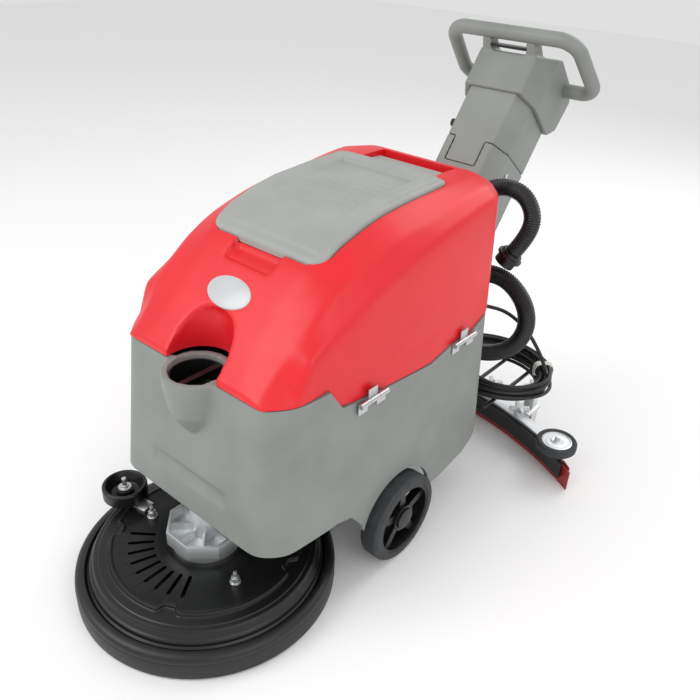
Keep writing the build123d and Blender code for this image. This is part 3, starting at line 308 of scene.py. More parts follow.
def smooth_through(knots, values, at):
    """Monotone cubic through values at knots: a knot's slope is the harmonic mean of its neighbours'."""
    knots, values, at = np.asarray(knots, float), np.asarray(values, float), np.asarray(at, float)
    step = np.diff(knots)[:, None]
    rise = np.diff(values, axis=0) / step
    slope = np.vstack([rise[:1], np.zeros_like(rise[1:]), rise[-1:]])
    product, total = rise[:-1] * rise[1:], rise[:-1] + rise[1:]
    slope[1:-1] = np.where(product > 0, 2 * product / np.where(total == 0, 1, total), 0)
    i = np.clip(np.searchsorted(knots, at) - 1, 0, len(step) - 1)
    s = ((at - knots[i])[:, None]) / step[i]
    return ((2 * s ** 3 - 3 * s ** 2 + 1) * values[i] + (s ** 3 - 2 * s ** 2 + s) * step[i] * slope[i]
            + (3 * s ** 2 - 2 * s ** 3) * values[i + 1] + (s ** 3 - s ** 2) * step[i] * slope[i + 1])


def straight_through(knots, values, at):
    """Each column of values, interpolated in straight lines."""
    values = np.asarray(values, float)
    return np.stack([np.interp(at, knots, column) for column in values.T], axis=1)


def relaxed(rows, passes, axis=0, wrap=False):
    """Repeated quarter-half-quarter averages along one axis, which round corners off."""
    rows = np.moveaxis(np.array(rows, float), axis, 0)
    for _ in range(passes):
        if wrap:
            rows = (np.roll(rows, 1, 0) + 2 * rows + np.roll(rows, -1, 0)) / 4
        else:
            rows[1:-1] = (rows[:-2] + 2 * rows[1:-1] + rows[2:]) / 4
    return np.moveaxis(rows, 0, axis)


def ring_faces(rings, sides, caps=True):
    """Quads between rings of the same number of points, and a flat cap at each end."""
    i, j = np.meshgrid(np.arange(rings - 1), np.arange(sides), indexing="ij")
    k = (j + 1) % sides
    faces = np.stack([i * sides + j, i * sides + k, (i + 1) * sides + k, (i + 1) * sides + j], axis=-1)
    faces = faces.reshape(-1, 4).tolist()
    if caps:
        faces += [list(range(sides))[::-1], list(range((rings - 1) * sides, rings * sides))]
    return faces


def solid(points, caps=True):
    """Closed mesh object from an array of rings (ring, side, xyz) in millimetres."""
    rings, sides = points.shape[:2]
    mesh = bpy.data.meshes.new("form")
    mesh.from_pydata(place(points).reshape(-1, 3).tolist(), [], ring_faces(rings, sides, caps))
    work = bmesh.new()
    work.from_mesh(mesh)
    bmesh.ops.remove_doubles(work, verts=work.verts, dist=1e-6)
    bmesh.ops.recalc_face_normals(work, faces=work.faces)
    work.to_mesh(mesh)
    work.free()
    form = bpy.data.objects.new("form", mesh)
    bpy.context.scene.collection.objects.link(form)
    return form


def prism(outline, low, high, across):
    """Outline carried straight along one axis: across is 0 for a side-view outline, 2 for one in plan."""
    outline = np.asarray(outline, float)
    rings = [np.insert(outline, across, level, axis=1) for level in (low, high)]
    return solid(np.array(rings))


def turned(profile, x, y, steps=96):
    """Closed profile of radius and height, turned about the vertical line at x, y."""
    profile = np.asarray(profile, float)
    angle = np.linspace(0, 2 * pi, steps, endpoint=False)[None, :]
    radius, height = profile[:, :1], profile[:, 1:]
    points = np.stack([x + radius * np.cos(angle), y + radius * np.sin(angle),
                       height + 0 * angle], axis=-1)
    return solid(points)


def baked(form):
    """The object's mesh with its modifiers applied."""
    context = bpy.context
    context.view_layer.update()
    mesh = bpy.data.meshes.new_from_object(form.evaluated_get(context.evaluated_depsgraph_get()))
    form.modifiers.clear()
    form.data = mesh
    return form


def carve(form, tools, operation="DIFFERENCE"):
    """Cuts each tool out of the form, or keeps or joins it, and clears the tool away."""
    for tool in tools:
        cut = form.modifiers.new("cut", "BOOLEAN")
        cut.operation = operation
        cut.solver = "EXACT"
        cut.object = tool
        baked(form)
        bpy.data.objects.remove(tool)
    return form


def softened(form, voxel_mm, passes):
    """Remeshes in cells of voxel_mm and relaxes, so every edge is round as on a moulding."""
    cells = form.modifiers.new("cells", "REMESH")
    cells.mode = "VOXEL"
    cells.voxel_size = voxel_mm * MM
    cells.use_smooth_shade = True
    relax = form.modifiers.new("relax", "SMOOTH")
    relax.factor = 0.5
    relax.iterations = passes
    return baked(form)


def finished(form, name, body, slot, nodes):
    """Names a form, gives it its finish, and lets it stand for the CAD nodes."""
    form.name = name
    form.data.name = name
    form.data.materials.clear()
    form.data.materials.append(finish(slot))
    form.data.polygons.foreach_set("use_smooth", np.ones(len(form.data.polygons), bool))
    form.data.set_sharp_from_angle(angle=bpy.context.scene.scrubber_finish.smooth_angle)
    if body:
        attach(form, body)
    if nodes:
        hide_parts(*nodes)
    return form


def node_form(node):
    """Copy of a CAD node's mesh, with its triangles joined into flat faces."""
    source = frame["nodes"][node]
    mesh = source.data.copy()
    work = bmesh.new()
    work.from_mesh(mesh)
    bmesh.ops.remove_doubles(work, verts=work.verts, dist=1e-5)
    bmesh.ops.dissolve_limit(work, angle_limit=radians(0.5), verts=work.verts, edges=work.edges)
    work.to_mesh(mesh)
    work.free()
    form = bpy.data.objects.new("form", mesh)
    form.matrix_world = source.matrix_world
    bpy.context.scene.collection.objects.link(form)
    return form


# ------------------------------------------------------------------------------ hoses and power cord
# Routes in metres, y from the axle. Each is the row of control points of a NURBS line.
SUCTION_ROUTE = [(0.150, 0.336, 0.512), (0.150, 0.384, 0.512), (0.196, 0.424, 0.498), (0.246, 0.436, 0.450),
                 (0.264, 0.438, 0.390), (0.240, 0.436, 0.326), (0.186, 0.432, 0.288), (0.122, 0.434, 0.272),
                 (0.060, 0.446, 0.268), (0.004, 0.474, 0.258), (-0.032, 0.514, 0.244), (-0.034, 0.558, 0.226),
                 (0.000, 0.590, 0.196), (0.000, 0.590, 0.140)]
DRAIN_ROUTE = [(0.120, 0.336, 0.684), (0.120, 0.384, 0.688), (0.150, 0.424, 0.703), (0.200, 0.434, 0.696),
               (0.233, 0.432, 0.655), (0.228, 0.428, 0.606), (0.206, 0.418, 0.566)]
CORD_START = [(0.085, 0.430, 0.400), (0.115, 0.430, 0.400), (0.146, 0.450, 0.398), (0.188, 0.478, 0.388),
              (0.242, 0.486, 0.356), (0.280, 0.488, 0.314), (0.298, 0.498, 0.274), (0.301, 0.512, 0.248),
              (0.293, 0.532, 0.236)]
CORD_END = [(0.112, 0.562, 0.198), (0.103, 0.536, 0.200), (0.112, 0.510, 0.206), (0.128, 0.486, 0.216),
            (0.138, 0.459, 0.231), (0.140, 0.4313, 0.245), (0.1293, 0.4127, 0.250), (0.1107, 0.402, 0.2505),
            (0.100, 0.402, 0.2485)]


def spline(name, route, steps, bevel=0.0):
    """NURBS curve with a route's points as its control points."""
    curve = bpy.data.curves.new(name, "CURVE")
    curve.dimensions = "3D"
    curve.resolution_u = steps
    curve.bevel_depth = bevel
    curve.bevel_resolution = 4
    curve.use_fill_caps = True
    line = curve.splines.new("NURBS")
    line.points.add(len(route) - 1)
    for point, (x, y, z) in zip(line.points, route):
        point.co = (x, y + AXLE_Y, z, 1.0)
    line.order_u = 3
    line.use_endpoint_u = True
    made = bpy.data.objects.new(name, curve)
    bpy.context.scene.collection.objects.link(made)
    return made


def line_points(route, spacing):
    """Points along a route's NURBS line, evenly spaced, and its length, all in metres."""
    guide = spline("guide", route, 16)
    mesh = bpy.data.meshes.new_from_object(guide)
    dense = np.array([v.co for v in mesh.vertices], float)
    bpy.data.objects.remove(guide)
    bpy.data.meshes.remove(mesh)
    run = np.concatenate([[0], np.cumsum(np.linalg.norm(np.diff(dense, axis=0), axis=1))])
    at = np.linspace(0, run[-1], int(round(run[-1] / spacing)) + 1)
    return np.stack([np.interp(at, run, column) for column in dense.T], axis=1), run[-1]


def carried_frames(points):
    """Two unit vectors across the line at each point, carried along it without twist."""
    ahead = np.gradient(points, axis=0)
    ahead /= np.linalg.norm(ahead, axis=1)[:, None]
    side = np.cross(ahead, (0.0, 0.0, 1.0))
    side[0] /= np.linalg.norm(side[0])
    for i in range(1, len(points)):
        across = side[i - 1] - ahead[i] * (side[i - 1] @ ahead[i])
        side[i] = across / np.linalg.norm(across)
    return side, np.cross(ahead, side)


def spiral_hose(route, radius, pitch, rib):
    """Hose along a route's line, in metres: radius - rib/2 (1 - cos(2 pi s / pitch - turn)) at length s."""
    points, length = line_points(route, pitch / 6)
    side, other = carried_frames(points)
    turn = np.linspace(0, 2 * pi, 36, endpoint=False)[None, :]
    along = np.linspace(0, length, len(points))[:, None]
    out = radius - rib / 2 * (1 - np.cos(2 * pi * along / pitch - turn))
    across = np.cos(turn)[..., None] * side[:, None, :] + np.sin(turn)[..., None] * other[:, None, :]
    rings = points[:, None, :] + out[..., None] * across
    return solid((rings - (0, AXLE_Y, 0)) / MM), points, length


class CordSettings(bpy.types.PropertyGroup):
    diameter: FloatProperty(name="Cord", description="Thickness of the power cord", default=0.009, unit="LENGTH")
    turns_per_layer: IntProperty(name="Turns", description="Turns in each full layer of the coil", default=3)
    points_per_turn: IntProperty(name="Points", description="Control points in each turn", default=20)
    looseness: FloatProperty(name="Looseness", description="How far a turn strays", default=0.0008, unit="LENGTH")


def coil_points(settings):
    """Control points of the wound cord, in metres.

    At s turns the line is on an ellipse about the coil's middle, drawn out by an offset that runs to and fro
    across the band, in layers one above the other. Away from the tie the turns fan out by up to a quarter.
    """
    layer = settings.turns_per_layer
    stops = np.cumsum([0, 1.5, 0.15, layer, 0.15, layer, 0.15, layer, 0.25])
    offset = np.array([0, 17.5, 17.5, -17.5, -17.5, 17.5, 17.5, -17.5, -29]) * MM
    height = np.array([229, 227.5, 216.5, 216.5, 205.5, 205.5, 194.5, 194.5, 196]) * MM
    s = np.arange(0, stops[-1] + 1e-9, 1 / settings.points_per_turn)
    stray = np.random.default_rng(7).uniform(-1, 1, (2, 64)) * settings.looseness
    knots = np.linspace(0, stops[-1], 64)
    angle = 2 * pi * s + radians(34)
    fan = (1 - np.cos(angle - radians(40))) / 2
    out = np.interp(s, stops, offset) * (1 + 0.25 * fan) + np.interp(s, knots, stray[0])
    z = 0.1945 + (np.interp(s, stops, height) - 0.1945) * (1 + 0.1 * fan) + 0.6 * np.interp(s, knots, stray[1])
    return np.stack([0.168 + (0.128 + out) * np.cos(angle), 0.506 + (0.106 + out) * np.sin(angle), z], axis=1).tolist()


class SCRUBBER_OT_cords(bpy.types.Operator):
    """Lays the power cord in its coil, and the suction and drain hoses"""
    bl_idname = "scrubber.cords"
    bl_label = "Cord and hoses"

    def execute(self, context):
        settings = context.scene.scrubber_cord
        route = CORD_START + coil_points(settings) + CORD_END
        cord = spline("power_cord_line", route, 5, settings.diameter / 2)
        cord.data.materials.append(finish("cord_black"))
        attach(cord, "machine")
        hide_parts("power_cord", "cord_coil")
        points, length = line_points(route, settings.diameter / 2)
        hose, points, length = spiral_hose(SUCTION_ROUTE, 0.0206, 0.0052, 0.0018)
        finished(hose, "suction_hose_spiral", None, "hose_black", ["suction_hose"])
        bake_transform(hose)
        hose, points, length = spiral_hose(DRAIN_ROUTE, 0.0190, 0.0052, 0.0018)
        finished(hose, "drain_hose_spiral", "red_tank", "hose_black", ["drain_hose"])
        return {"FINISHED"}


# ------------------------------------------------------------------------------ outlines of the two tanks
# Red tank, front to rear: y, then half width and height of the edge of the top, of the shoulder and of the
# crease above the side, and the half width at the foot.
TANK_SECTIONS = np.array([
    (-323, 137, 508, 165, 504, 180, 499, 180),
    (-278, 115, 562, 172, 552, 215, 506, 216),
    (-247, 110, 597, 178, 588, 219, 571, 222),
    (-163, 125, 676, 188, 653, 220, 604, 230),
    (-97, 135, 711, 190, 683, 221, 637, 232),
    (16, 140, 738, 190, 712, 221, 671, 235),
    (109, 140, 746, 190, 721, 221, 694, 235),
    (288, 145, 750, 190, 740, 215, 718, 231),
    (334, 132, 748, 172, 736, 196, 713, 203)], float)
SEAM = [(-400, 497), (-323, 497), (-278, 500), (-210, 505), (-181, 461), (-146, 455),
        (-68, 448), (80, 437), (153, 451), (229, 451), (313, 482), (400, 512)]
BODY_LOW = np.array([(190, -355), (229, -315), (240, -200), (245, 100), (243, 296), (214, 338)], float)
BODY_HIGH = np.array([(181, -323), (217, -278), (231, -205), (236, 100), (232, 288), (206, 318)], float)
BODY_LOW_Z, BODY_SEAM_Z = 200.0, 497.0
LID_LINE = [(-150, 674), (-97, 703), (-31, 723), (16, 732), (109, 739), (212, 743), (238, 728), (298, 725)]
PORT = (0.0, -308.0)
PORT_TOP = 496.0


def tank_form(inset=0.0):
    """Red tank's outer form: sections joined by a smooth curve, corners rounded by relaxing each section."""
    y = np.linspace(-323 + inset, 334 - inset, 132)
    values = 0.75 * smooth_through(TANK_SECTIONS[:, 0], TANK_SECTIONS[:, 1:], y)
    values += 0.25 * straight_through(TANK_SECTIONS[:, 0], TANK_SECTIONS[:, 1:], y)
    top_x, top_z, sh_x, sh_z, cr_x, cr_z, foot_x = values.T
    corners_x = np.stack([0 * top_x, top_x, sh_x, cr_x, foot_x], axis=1) - inset
    corners_x[:, 0] = 0
    corners_z = np.stack([top_z, top_z, sh_z, cr_z, 0 * top_z + 430 + inset], axis=1) - inset
    share = np.interp(np.linspace(0, 4, 72), range(5), range(5))
    low = np.minimum(share.astype(int), 3)
    part = share - low
    x = corners_x[:, low] * (1 - part) + corners_x[:, low + 1] * part
    z = corners_z[:, low] * (1 - part) + corners_z[:, low + 1] * part
    x = np.concatenate([-x[:, :0:-1], x], axis=1)
    z = np.concatenate([z[:, :0:-1], z], axis=1)
    x[:, 1:-1], z[:, 1:-1] = relaxed(x, 7, 1)[:, 1:-1], relaxed(z, 7, 1)[:, 1:-1]
    points = np.stack([x, np.repeat(y[:, None], x.shape[1], axis=1), z], axis=-1)
    return solid(points)


def below_seam(lift):
    line = [(y, z + lift) for y, z in SEAM]
    return prism(line + [(400, 0), (-400, 0)], -320, 320, 0)


def lid_rows(grow, y):
    """Half width of the lid at each y: chamfered front corners, body, stepped rear tab."""
    knots = [-150, -122, 204, 226, 226.01, 298]
    return np.interp(y, knots, [110, 140, 140, 120, 92, 92]) + grow


def lid_solid(grow, low, high):
    """Block under or over the lid's plan, from its underside less low up to a height or a lift."""
    y = np.concatenate([np.linspace(-150, -122, 8), np.linspace(-110, 204, 24), [226, 226.01], np.linspace(230, 298, 6)])
    half = lid_rows(grow, y)
    under = np.interp(y, *np.array(LID_LINE).T) - low
    over = np.full_like(y, high)
    y = y.copy()
    y[0] -= grow
    y[-1] += grow * 6
    y[-8] += grow
    y[-7] += grow
    rings = np.stack([np.stack([-half, y, under], 1), np.stack([half, y, under], 1),
                      np.stack([half, y, over], 1), np.stack([-half, y, over], 1)], axis=1)
    return solid(rings)


def dome(x, y, radius, low, shoulder, top):
    """Round post with an elliptic dome."""
    turn = np.linspace(0, pi / 2, 14)
    profile = [(0.01, low), (radius, low)] + list(zip(radius * np.cos(turn) + 0.01, shoulder + (top - shoulder) * np.sin(turn)))
    return turned(profile, x, y)


class SCRUBBER_OT_red_tank(bpy.types.Operator):
    """Builds the red recovery tank's moulded shell"""
    bl_idname = "scrubber.red_tank"
    bl_label = "Red tank"

    def execute(self, context):
        wall = context.scene.scrubber_tank.wall
        line = [(y, z - 12) for y, z in LID_LINE[:-2]] + [(334 - wall, 712)]
        upper = carve(tank_form(wall), [prism([(-317, 519), *[(y, z) for y, z in line], (334 - wall, 519)],
                                              -300, 300, 0)], "INTERSECT")
        carve(upper, [turned([(0.01, 400), (72, 400), (72, 850), (0.01, 850)], *PORT)])
        lower = carve(tank_form(wall), [prism([(-400, 400), (400, 400), (400, 514), (-400, 514)], -300, 300, 0)], "INTERSECT")
        carve(lower, [turned([(0.01, 380), (72, 380), (72, 850), (0.01, 850)], *PORT)])
        tank = tank_form()
        notch = prism([(-186, 642), (-176, 655), (-153, 662), (-140, 700), (-140, 760), (-186, 760)], -58, 58, 0)
        mouth = prism([(-95, 640), (180, 640), (180, 850), (-95, 850)], -112, 112, 0)
        carve(tank, [upper, lower, notch, dome(*PORT, 67, 380, 575, 618)])
        softened(tank, context.scene.scrubber_tank.cell, 5)
        carve(tank, [below_seam(1.0), lid_solid(3, 3, 850), mouth])
        finished(tank, "red_tank_shell", "red_tank", "red_shell", ["recovery_tank"])
        return {"FINISHED"}


def body_ring(z, inset):
    """Plan of the grey body at height z, its corners rounded by relaxing."""
    share = (z - BODY_LOW_Z) / (BODY_SEAM_Z - BODY_LOW_Z)
    half = BODY_LOW + (BODY_HIGH - BODY_LOW) * share
    front, rear = half[0, 1] + inset, half[-1, 1] - inset
    half = np.stack([half[:, 0] - inset, np.clip(half[:, 1], front, rear)], axis=1)
    outline = np.concatenate([half, half[::-1] * (-1, 1)])
    outline = np.vstack([outline, outline[:1]])
    run = np.concatenate([[0], np.cumsum(np.linalg.norm(np.diff(outline, axis=0), axis=1))])
    at = np.linspace(0, run[-1], 361)[:-1]
    points = np.stack([np.interp(at, run, outline[:, 0]), np.interp(at, run, outline[:, 1])], axis=1)
    return np.insert(relaxed(points, 14, 0, wrap=True), 2, z, axis=1)


def body_form(low, high, inset=0.0):
    """Grey body's form: rounded plan rings, stacked."""
    return solid(np.array([body_ring(z, inset) for z in np.linspace(low, high, 24)]))


class SCRUBBER_OT_grey_body(bpy.types.Operator):
    """Builds the grey solution tank's moulded shell"""
    bl_idname = "scrubber.grey_body"
    bl_label = "Grey body"

    def execute(self, context):
        wall = context.scene.scrubber_tank.wall + 5
        body = body_form(90, 530)
        under = [(-400, 200), (-190, 200), (-150, 190), (-118, 150), (-104, 114), (144, 112), (241, 127),
                 (293, 153), (338, 196), (400, 250), (400, 0), (-400, 0)]
        low = carve(body_form(80, 540, wall), [prism([(-400, 0), (400, 0), (400, 245), (-400, 245)], -300, 300, 0)], "INTERSECT")
        top = carve(body_form(80, 540, wall), [prism([(-400, 250), (400, 250), (400, 600), (-400, 600)], -300, 300, 0)], "INTERSECT")
        keep = prism([(y, z - 1.0) for y, z in SEAM] + [(400, 50), (-400, 50)], -320, 320, 0)
        carve(body, [low, top])
        turn = np.linspace(0, 2 * pi, 64, endpoint=False)
        arches = [prism(np.stack([112 * np.cos(turn), 100 + 112 * np.sin(turn)], 1), x0, x1, 0)
                  for x0, x1 in ((210, 300), (-300, -210))]
        x, y = PORT
        spout = [(0.01, 366), (22, 368), (42, 390), (56, 420), (60, 444), (63, 468), (64, PORT_TOP), (0.01, PORT_TOP)]
        carve(body, [turned(spout, x, y)], "UNION")
        carve(body, [turned([(0.01, 434), (51, 434), (51, 520), (0.01, 520)], x, y)])
        band = [(-400, 255), (-349.5, 257), (-344.2, 263), (-342, 284), (-345.5, 291), (-400, 293)]
        carve(body, [prism(band, -103, 103, 0)])
        softened(body, context.scene.scrubber_tank.cell, 5)
        carve(body, [keep], "INTERSECT")
        carve(body, [prism(under, -300, 300, 0), *arches])
        finished(body, "grey_body_shell", "machine", "grey_shell", ["solution_tank"])
        return {"FINISHED"}


def eased(distance, width):
    """0 to 1 over a width, with level ends."""
    t = np.clip(distance / width, 0, 1)
    return t * t * (3 - 2 * t)


class SCRUBBER_OT_lid(bpy.types.Operator):
    """Builds the grey lid: rounded rim, sunk grip that deepens to the rear, and nine ribs across it"""
    bl_idname = "scrubber.lid"
    bl_label = "Lid"

    def execute(self, context):
        start = -150 + 14 * (1 - np.cos(np.linspace(0, pi / 2, 12)))
        y = np.unique(np.concatenate([start, np.arange(-134, 200, 1.5), np.arange(200, 226, 2), [226, 226.01],
                                      np.linspace(228, 298, 14)]))
        half = 140 - 30 * (1 - np.sqrt(1 - np.clip((-122 - y) / 28, 0, 1) ** 2))
        half -= 20 * (1 - np.sqrt(1 - np.clip((y - 204) / 22, 0, 1) ** 2))
        half = np.where(y > 226.005, 92, half)[:, None]
        side = np.sin(np.linspace(-pi / 2, pi / 2, 110))[None, :]
        x, rows = side * half, y[:, None] + 0 * side
        under = np.interp(y, *np.array(LID_LINE).T)[:, None] + 0 * x
        inward = np.minimum(half - np.abs(x), rows + 150)
        crown = 18 - 2.5 * (x / 140) ** 2 - 2.2 * (1 - eased(inward - 15, 7))
        edge = 8 * (1 - np.sqrt(1 - np.clip(1 - inward / 8, 0, 1) ** 2))
        sunk = (2.5 + 7 * np.clip((rows + 45) / 225, 0, 1)) * eased(99 - np.abs(x), 9)
        sunk *= eased(rows + 62, 18) * eased(181 - rows, 9)
        rib = 2.4 * np.exp(-((((rows + 28) % 22 + 11) % 22 - 11) / 2.4) ** 2) * eased(87 - np.abs(x), 6)
        rib *= (rows > -37) & (rows < 157)
        top = under + np.where(rows > 232, 14 - 0 * x, crown - edge - sunk + rib)
        base = np.linspace(1, -1, 10)[None, :] * half
        bottom = np.stack([base, y[:, None] + 0 * base, under[:, :1] + 0 * base], axis=-1)
        finished(solid(np.concatenate([np.stack([x, rows, top], -1), bottom], axis=1)), "lid_moulding", "lid",
                 "lid_grey", ["recovery_lid"])
        return {"FINISHED"}


class SCRUBBER_OT_column(bpy.types.Operator):
    """Rounds the edges of the column, the pod and its bracket as moulded parts"""
    bl_idname = "scrubber.column"
    bl_label = "Column and pod"

    def execute(self, context):
        for node, slot, cell, passes in (("column_bracket", "column_grey", 3.0, 4), ("column_neck", "column_grey", 2.6, 4),
                                         ("control_pod", "handle_grey", 2.6, 6)):
            form = softened(node_form(node), cell, passes)
            finished(form, node + "_shell", "machine", slot, [node])
        return {"FINISHED"}


# ------------------------------------------------------------------------------ brush deck
DECK_Y = -313.6
NOTCHES = (216.0, 298.0, 20.0, 100.0)      # directions in which the edge of the raised plate dips inward, degrees


def deck_plate():
    """Deck cover as rings of radius and height; the edge of its raised plate runs at 192 - 15 notch(turn)."""
    turn = np.linspace(0, 2 * pi, 480, endpoint=False)
    away = [np.abs((np.degrees(turn) - notch + 180) % 360 - 180) for notch in NOTCHES]
    dip = sum(1 / (1 + np.exp((a - 4.6) * 1.7)) for a in away)
    edge = 192 - 15 * dip
    outer = [(60, 92, 0), (100, 92, 0), (140, 92, 0), (-9, 92, 1), (-7, 92.6, 1), (-5, 93.8, 1), (-2.5, 94.2, 1), (0, 93.6, 1),
             (1.2, 91, 1), (2.2, 87.6, 1), (4, 86.6, 1), (8, 86.4, 1), (208, 86, 0), (212, 85.8, 0), (214, 84.2, 0),
             (219, 84, 0), (222, 83.2, 0), (224.2, 80.5, 0), (225.5, 74, 0), (228, 68, 0), (231.5, 65.5, 0),
             (233, 62, 0), (233.6, 57, 0), (238, 54, 0), (238, 45, 0), (228, 45, 0), (219, 78, 0), (190, 81, 0),
             (172, 84, 0), (140, 87, 0), (60, 87, 0)]
    rings = []
    for radius, height, moves in outer:
        r = radius + edge * moves
        rings.append(np.stack([r * np.cos(turn), DECK_Y + r * np.sin(turn), np.full_like(turn, height)], axis=1))
    return solid(np.array(rings + rings[:1]), caps=False)


def slot_cutter(angle):
    """Round-ended bar, 7.6 mm wide, that cuts one vent slot."""
    turn = np.linspace(-pi / 2, pi / 2, 10)
    end = np.stack([152.2 + 3.8 * np.cos(turn), 3.8 * np.sin(turn)], axis=1)
    start = np.stack([106.8 - 3.8 * np.cos(turn), -3.8 * np.sin(turn)], axis=1)
    flat = np.concatenate([end, start])
    a = radians(angle)
    turned_flat = flat @ np.array([[cos(a), sin(a)], [-sin(a), cos(a)]]) + (0, DECK_Y)
    return prism(turned_flat, 75, 100, 2)


class SCRUBBER_OT_deck(bpy.types.Operator):
    """Builds the deck cover and the rubber skirt"""
    bl_idname = "scrubber.deck"
    bl_label = "Brush deck"

    def execute(self, context):
        cover = carve(deck_plate(), [slot_cutter(-141 + 10.5 * i) for i in range(9)])
        bevelled(cover, 0.6, 30)
        finished(cover, "deck_cover_moulding", "deck", "black_plastic", ["deck_cover"])
        skirt = [(254, 3.2), (260, 3), (261.6, 5), (262, 9), (262, 38), (261.2, 40), (260.6, 41), (261.2, 42),
                 (261.4, 45), (260.4, 50), (257, 54.6), (252, 57), (246, 58), (242, 57.6), (240.5, 55), (239.5, 52),
                 (238, 51), (238, 45), (250, 45), (253.6, 40), (254, 30)]
        finished(turned(skirt, 0, DECK_Y, 240), "deck_skirt_rubber", "deck", "skirt_rubber", ["deck_skirt"])
        return {"FINISHED"}


def bevelled(form, width_mm, angle):
    """Rounds the edges sharper than an angle in degrees, over three segments."""
    edge = form.modifiers.new("edges", "BEVEL")
    edge.width = width_mm * MM
    edge.segments = 3
    edge.limit_method = "ANGLE"
    edge.angle_limit = radians(angle)
    edge.use_clamp_overlap = True
    return baked(form)


# ------------------------------------------------------------------------------ small parts
def badge_form():
    """Oval plate with a rounded rim, laid on the slope ahead of the lid."""
    (low_y, low_z), (high_y, high_z) = TANK_SECTIONS[2, [0, 2]], TANK_SECTIONS[3, [0, 2]]
    run = np.array([0, high_y - low_y, high_z - low_z])
    run /= np.linalg.norm(run)
    out = np.array([0, -run[2], run[1]])
    middle = np.array([0, (low_y + high_y) / 2, (low_z + high_z) / 2]) - 30.2 * run
    turn = np.linspace(0, 2 * pi, 96, endpoint=False)
    rings = []
    for share, lift in ((0.02, 2.6), (0.9, 2.6), (0.93, 2.2), (0.96, 2.6), (0.99, 2.2), (1, 1.4), (1, -1.5), (0.02, -1.5)):
        oval = np.stack([52 * share * np.cos(turn), 30 * share * np.sin(turn)], axis=1)
        rings.append(middle + oval[:, :1] * (1, 0, 0) + oval[:, 1:] * run + lift * out)
    return solid(np.array(rings))


def tie_form():
    """Tape drawn round the coil's band: a rounded square ring, narrower where it is pulled tight."""
    turn = np.linspace(0, 2 * pi, 73)
    reach = (np.abs(np.cos(turn)) ** 3.2 + np.abs(np.sin(turn)) ** 3.2) ** (-1 / 3.2)
    width = 9 + 1.2 * np.sin(3 * turn)
    a = radians(40)
    outward, along = np.array([cos(a), sin(a), 0]), np.array([-sin(a), cos(a), 0])
    middle = np.array([168 + 128 * cos(a), 506 + 106 * sin(a), 211])
    rings = []
    for grow, side in ((0, -1), (1.5, -1), (2.2, -0.8), (2.2, 0.8), (1.5, 1), (0, 1)):
        r, h = (22.6 + grow) * reach * np.cos(turn), (22.0 + grow) * reach * np.sin(turn)
        rings.append(middle + r[:, None] * outward + h[:, None] * (0, 0, 1) + (side * width)[:, None] * along)
    return solid(np.array(rings).transpose(1, 0, 2), caps=False)


class SCRUBBER_OT_small_parts(bpy.types.Operator):
    """Builds the badge, the tie and the end rollers, and rounds the edges of the small hardware"""
    bl_idname = "scrubber.small_parts"
    bl_label = "Small parts"

    def execute(self, context):
        finished(badge_form(), "badge_oval", "red_tank", "badge_silver", ["badge_plate"])
        finished(tie_form(), "cord_tie_tape", "machine", "tie_white", ["cord_tie"])
        for side, name in ((1, "left"), (-1, "right")):
            x, y = side * 376, 484
            tyre = [(37, 76), (42, 74.5), (47, 75), (49.6, 78), (50, 84), (50, 89), (49.6, 94), (47, 97.4),
                    (43, 98), (39, 97.2), (37, 95.4)]
            finished(turned(tyre + tyre[:1], x, y), f"roller_tyre_{name}", f"roller_{name}", "tyre_rubber",
                     [f"squeegee_roller_{name}"])
            disc = [(6.1, 75), (36.9, 76), (36.9, 95), (34, 95.4), (33, 93.4), (29, 93.4), (28, 94.6), (16, 95.2),
                    (14, 97.6), (8, 97.8), (6.1, 97)]
            finished(turned(disc + disc[:1], x, y), f"roller_disc_{name}", f"roller_{name}", "cast_aluminium", [])
        slots = {part["node"]: part["material_slot"] for part in frame["record"]["subparts"]}
        bodies = {node: body for body, nodes in frame["record"]["behaviour"]["bodies"].items() for node in nodes}
        for node, width in ROUNDED.items():
            finished(bevelled(node_form(node), width, 30), node + "_rounded", bodies[node], slots[node], [node])
        return {"FINISHED"}


# Widths of the edge rounding in millimetres, by node.
ROUNDED = {
    "gearbox_housing": 1.4, "bumper_roller": 1.0, "hub_left": 1.4, "hub_right": 1.4, "tyre_left": 2.0,
    "tyre_right": 2.0, "squeegee_bar": 1.0, "squeegee_arm": 1.6, "blade_knobs": 1.6, "clamp_knob_left": 1.6,
    "clamp_knob_right": 1.6, "suction_cuff": 1.4, "drain_cap": 1.4, "caster_fork": 0.8, "caster_wheel": 2.0,
    "deck_pedal": 1.4, "squeegee_lever": 1.6, "control_panel": 0.7, "brush_switch": 1.2, "vacuum_switch": 1.2,
    "key_switch": 0.6, "drive_paddle": 1.0, "deck_studs": 0.8, "chassis_frame": 1.2, "cord_plug": 1.2,
    "cord_gland": 1.2, "drain_valve": 0.8, "fill_strainer": 1.0,
}


# --------------------------------------------------------------------------------------------- operators
class FinishSettings(bpy.types.PropertyGroup):
    smooth_angle: FloatProperty(name="Smooth angle", description="Edges flatter than this shade smooth",
                                default=radians(35), subtype="ANGLE", unit="ROTATION")


class TankSettings(bpy.types.PropertyGroup):
    wall: FloatProperty(name="Wall", description="Thickness of the moulded walls in millimetres", default=5.0)
    cell: FloatProperty(name="Cell", description="Size of the remesh cells in millimetres", default=4.0)


class SCRUBBER_OT_finishes(bpy.types.Operator):
    """Gives every CAD piece the finish of its material"""
    bl_idname = "scrubber.finishes"
    bl_label = "Finishes"

    def execute(self, context):
        slots = {part["node"]: part["material_slot"] for part in frame["record"]["subparts"]}
        for name, piece in frame["nodes"].items():
            for place in piece.material_slots:
                place.material = finish(slots[name])
        return {"FINISHED"}


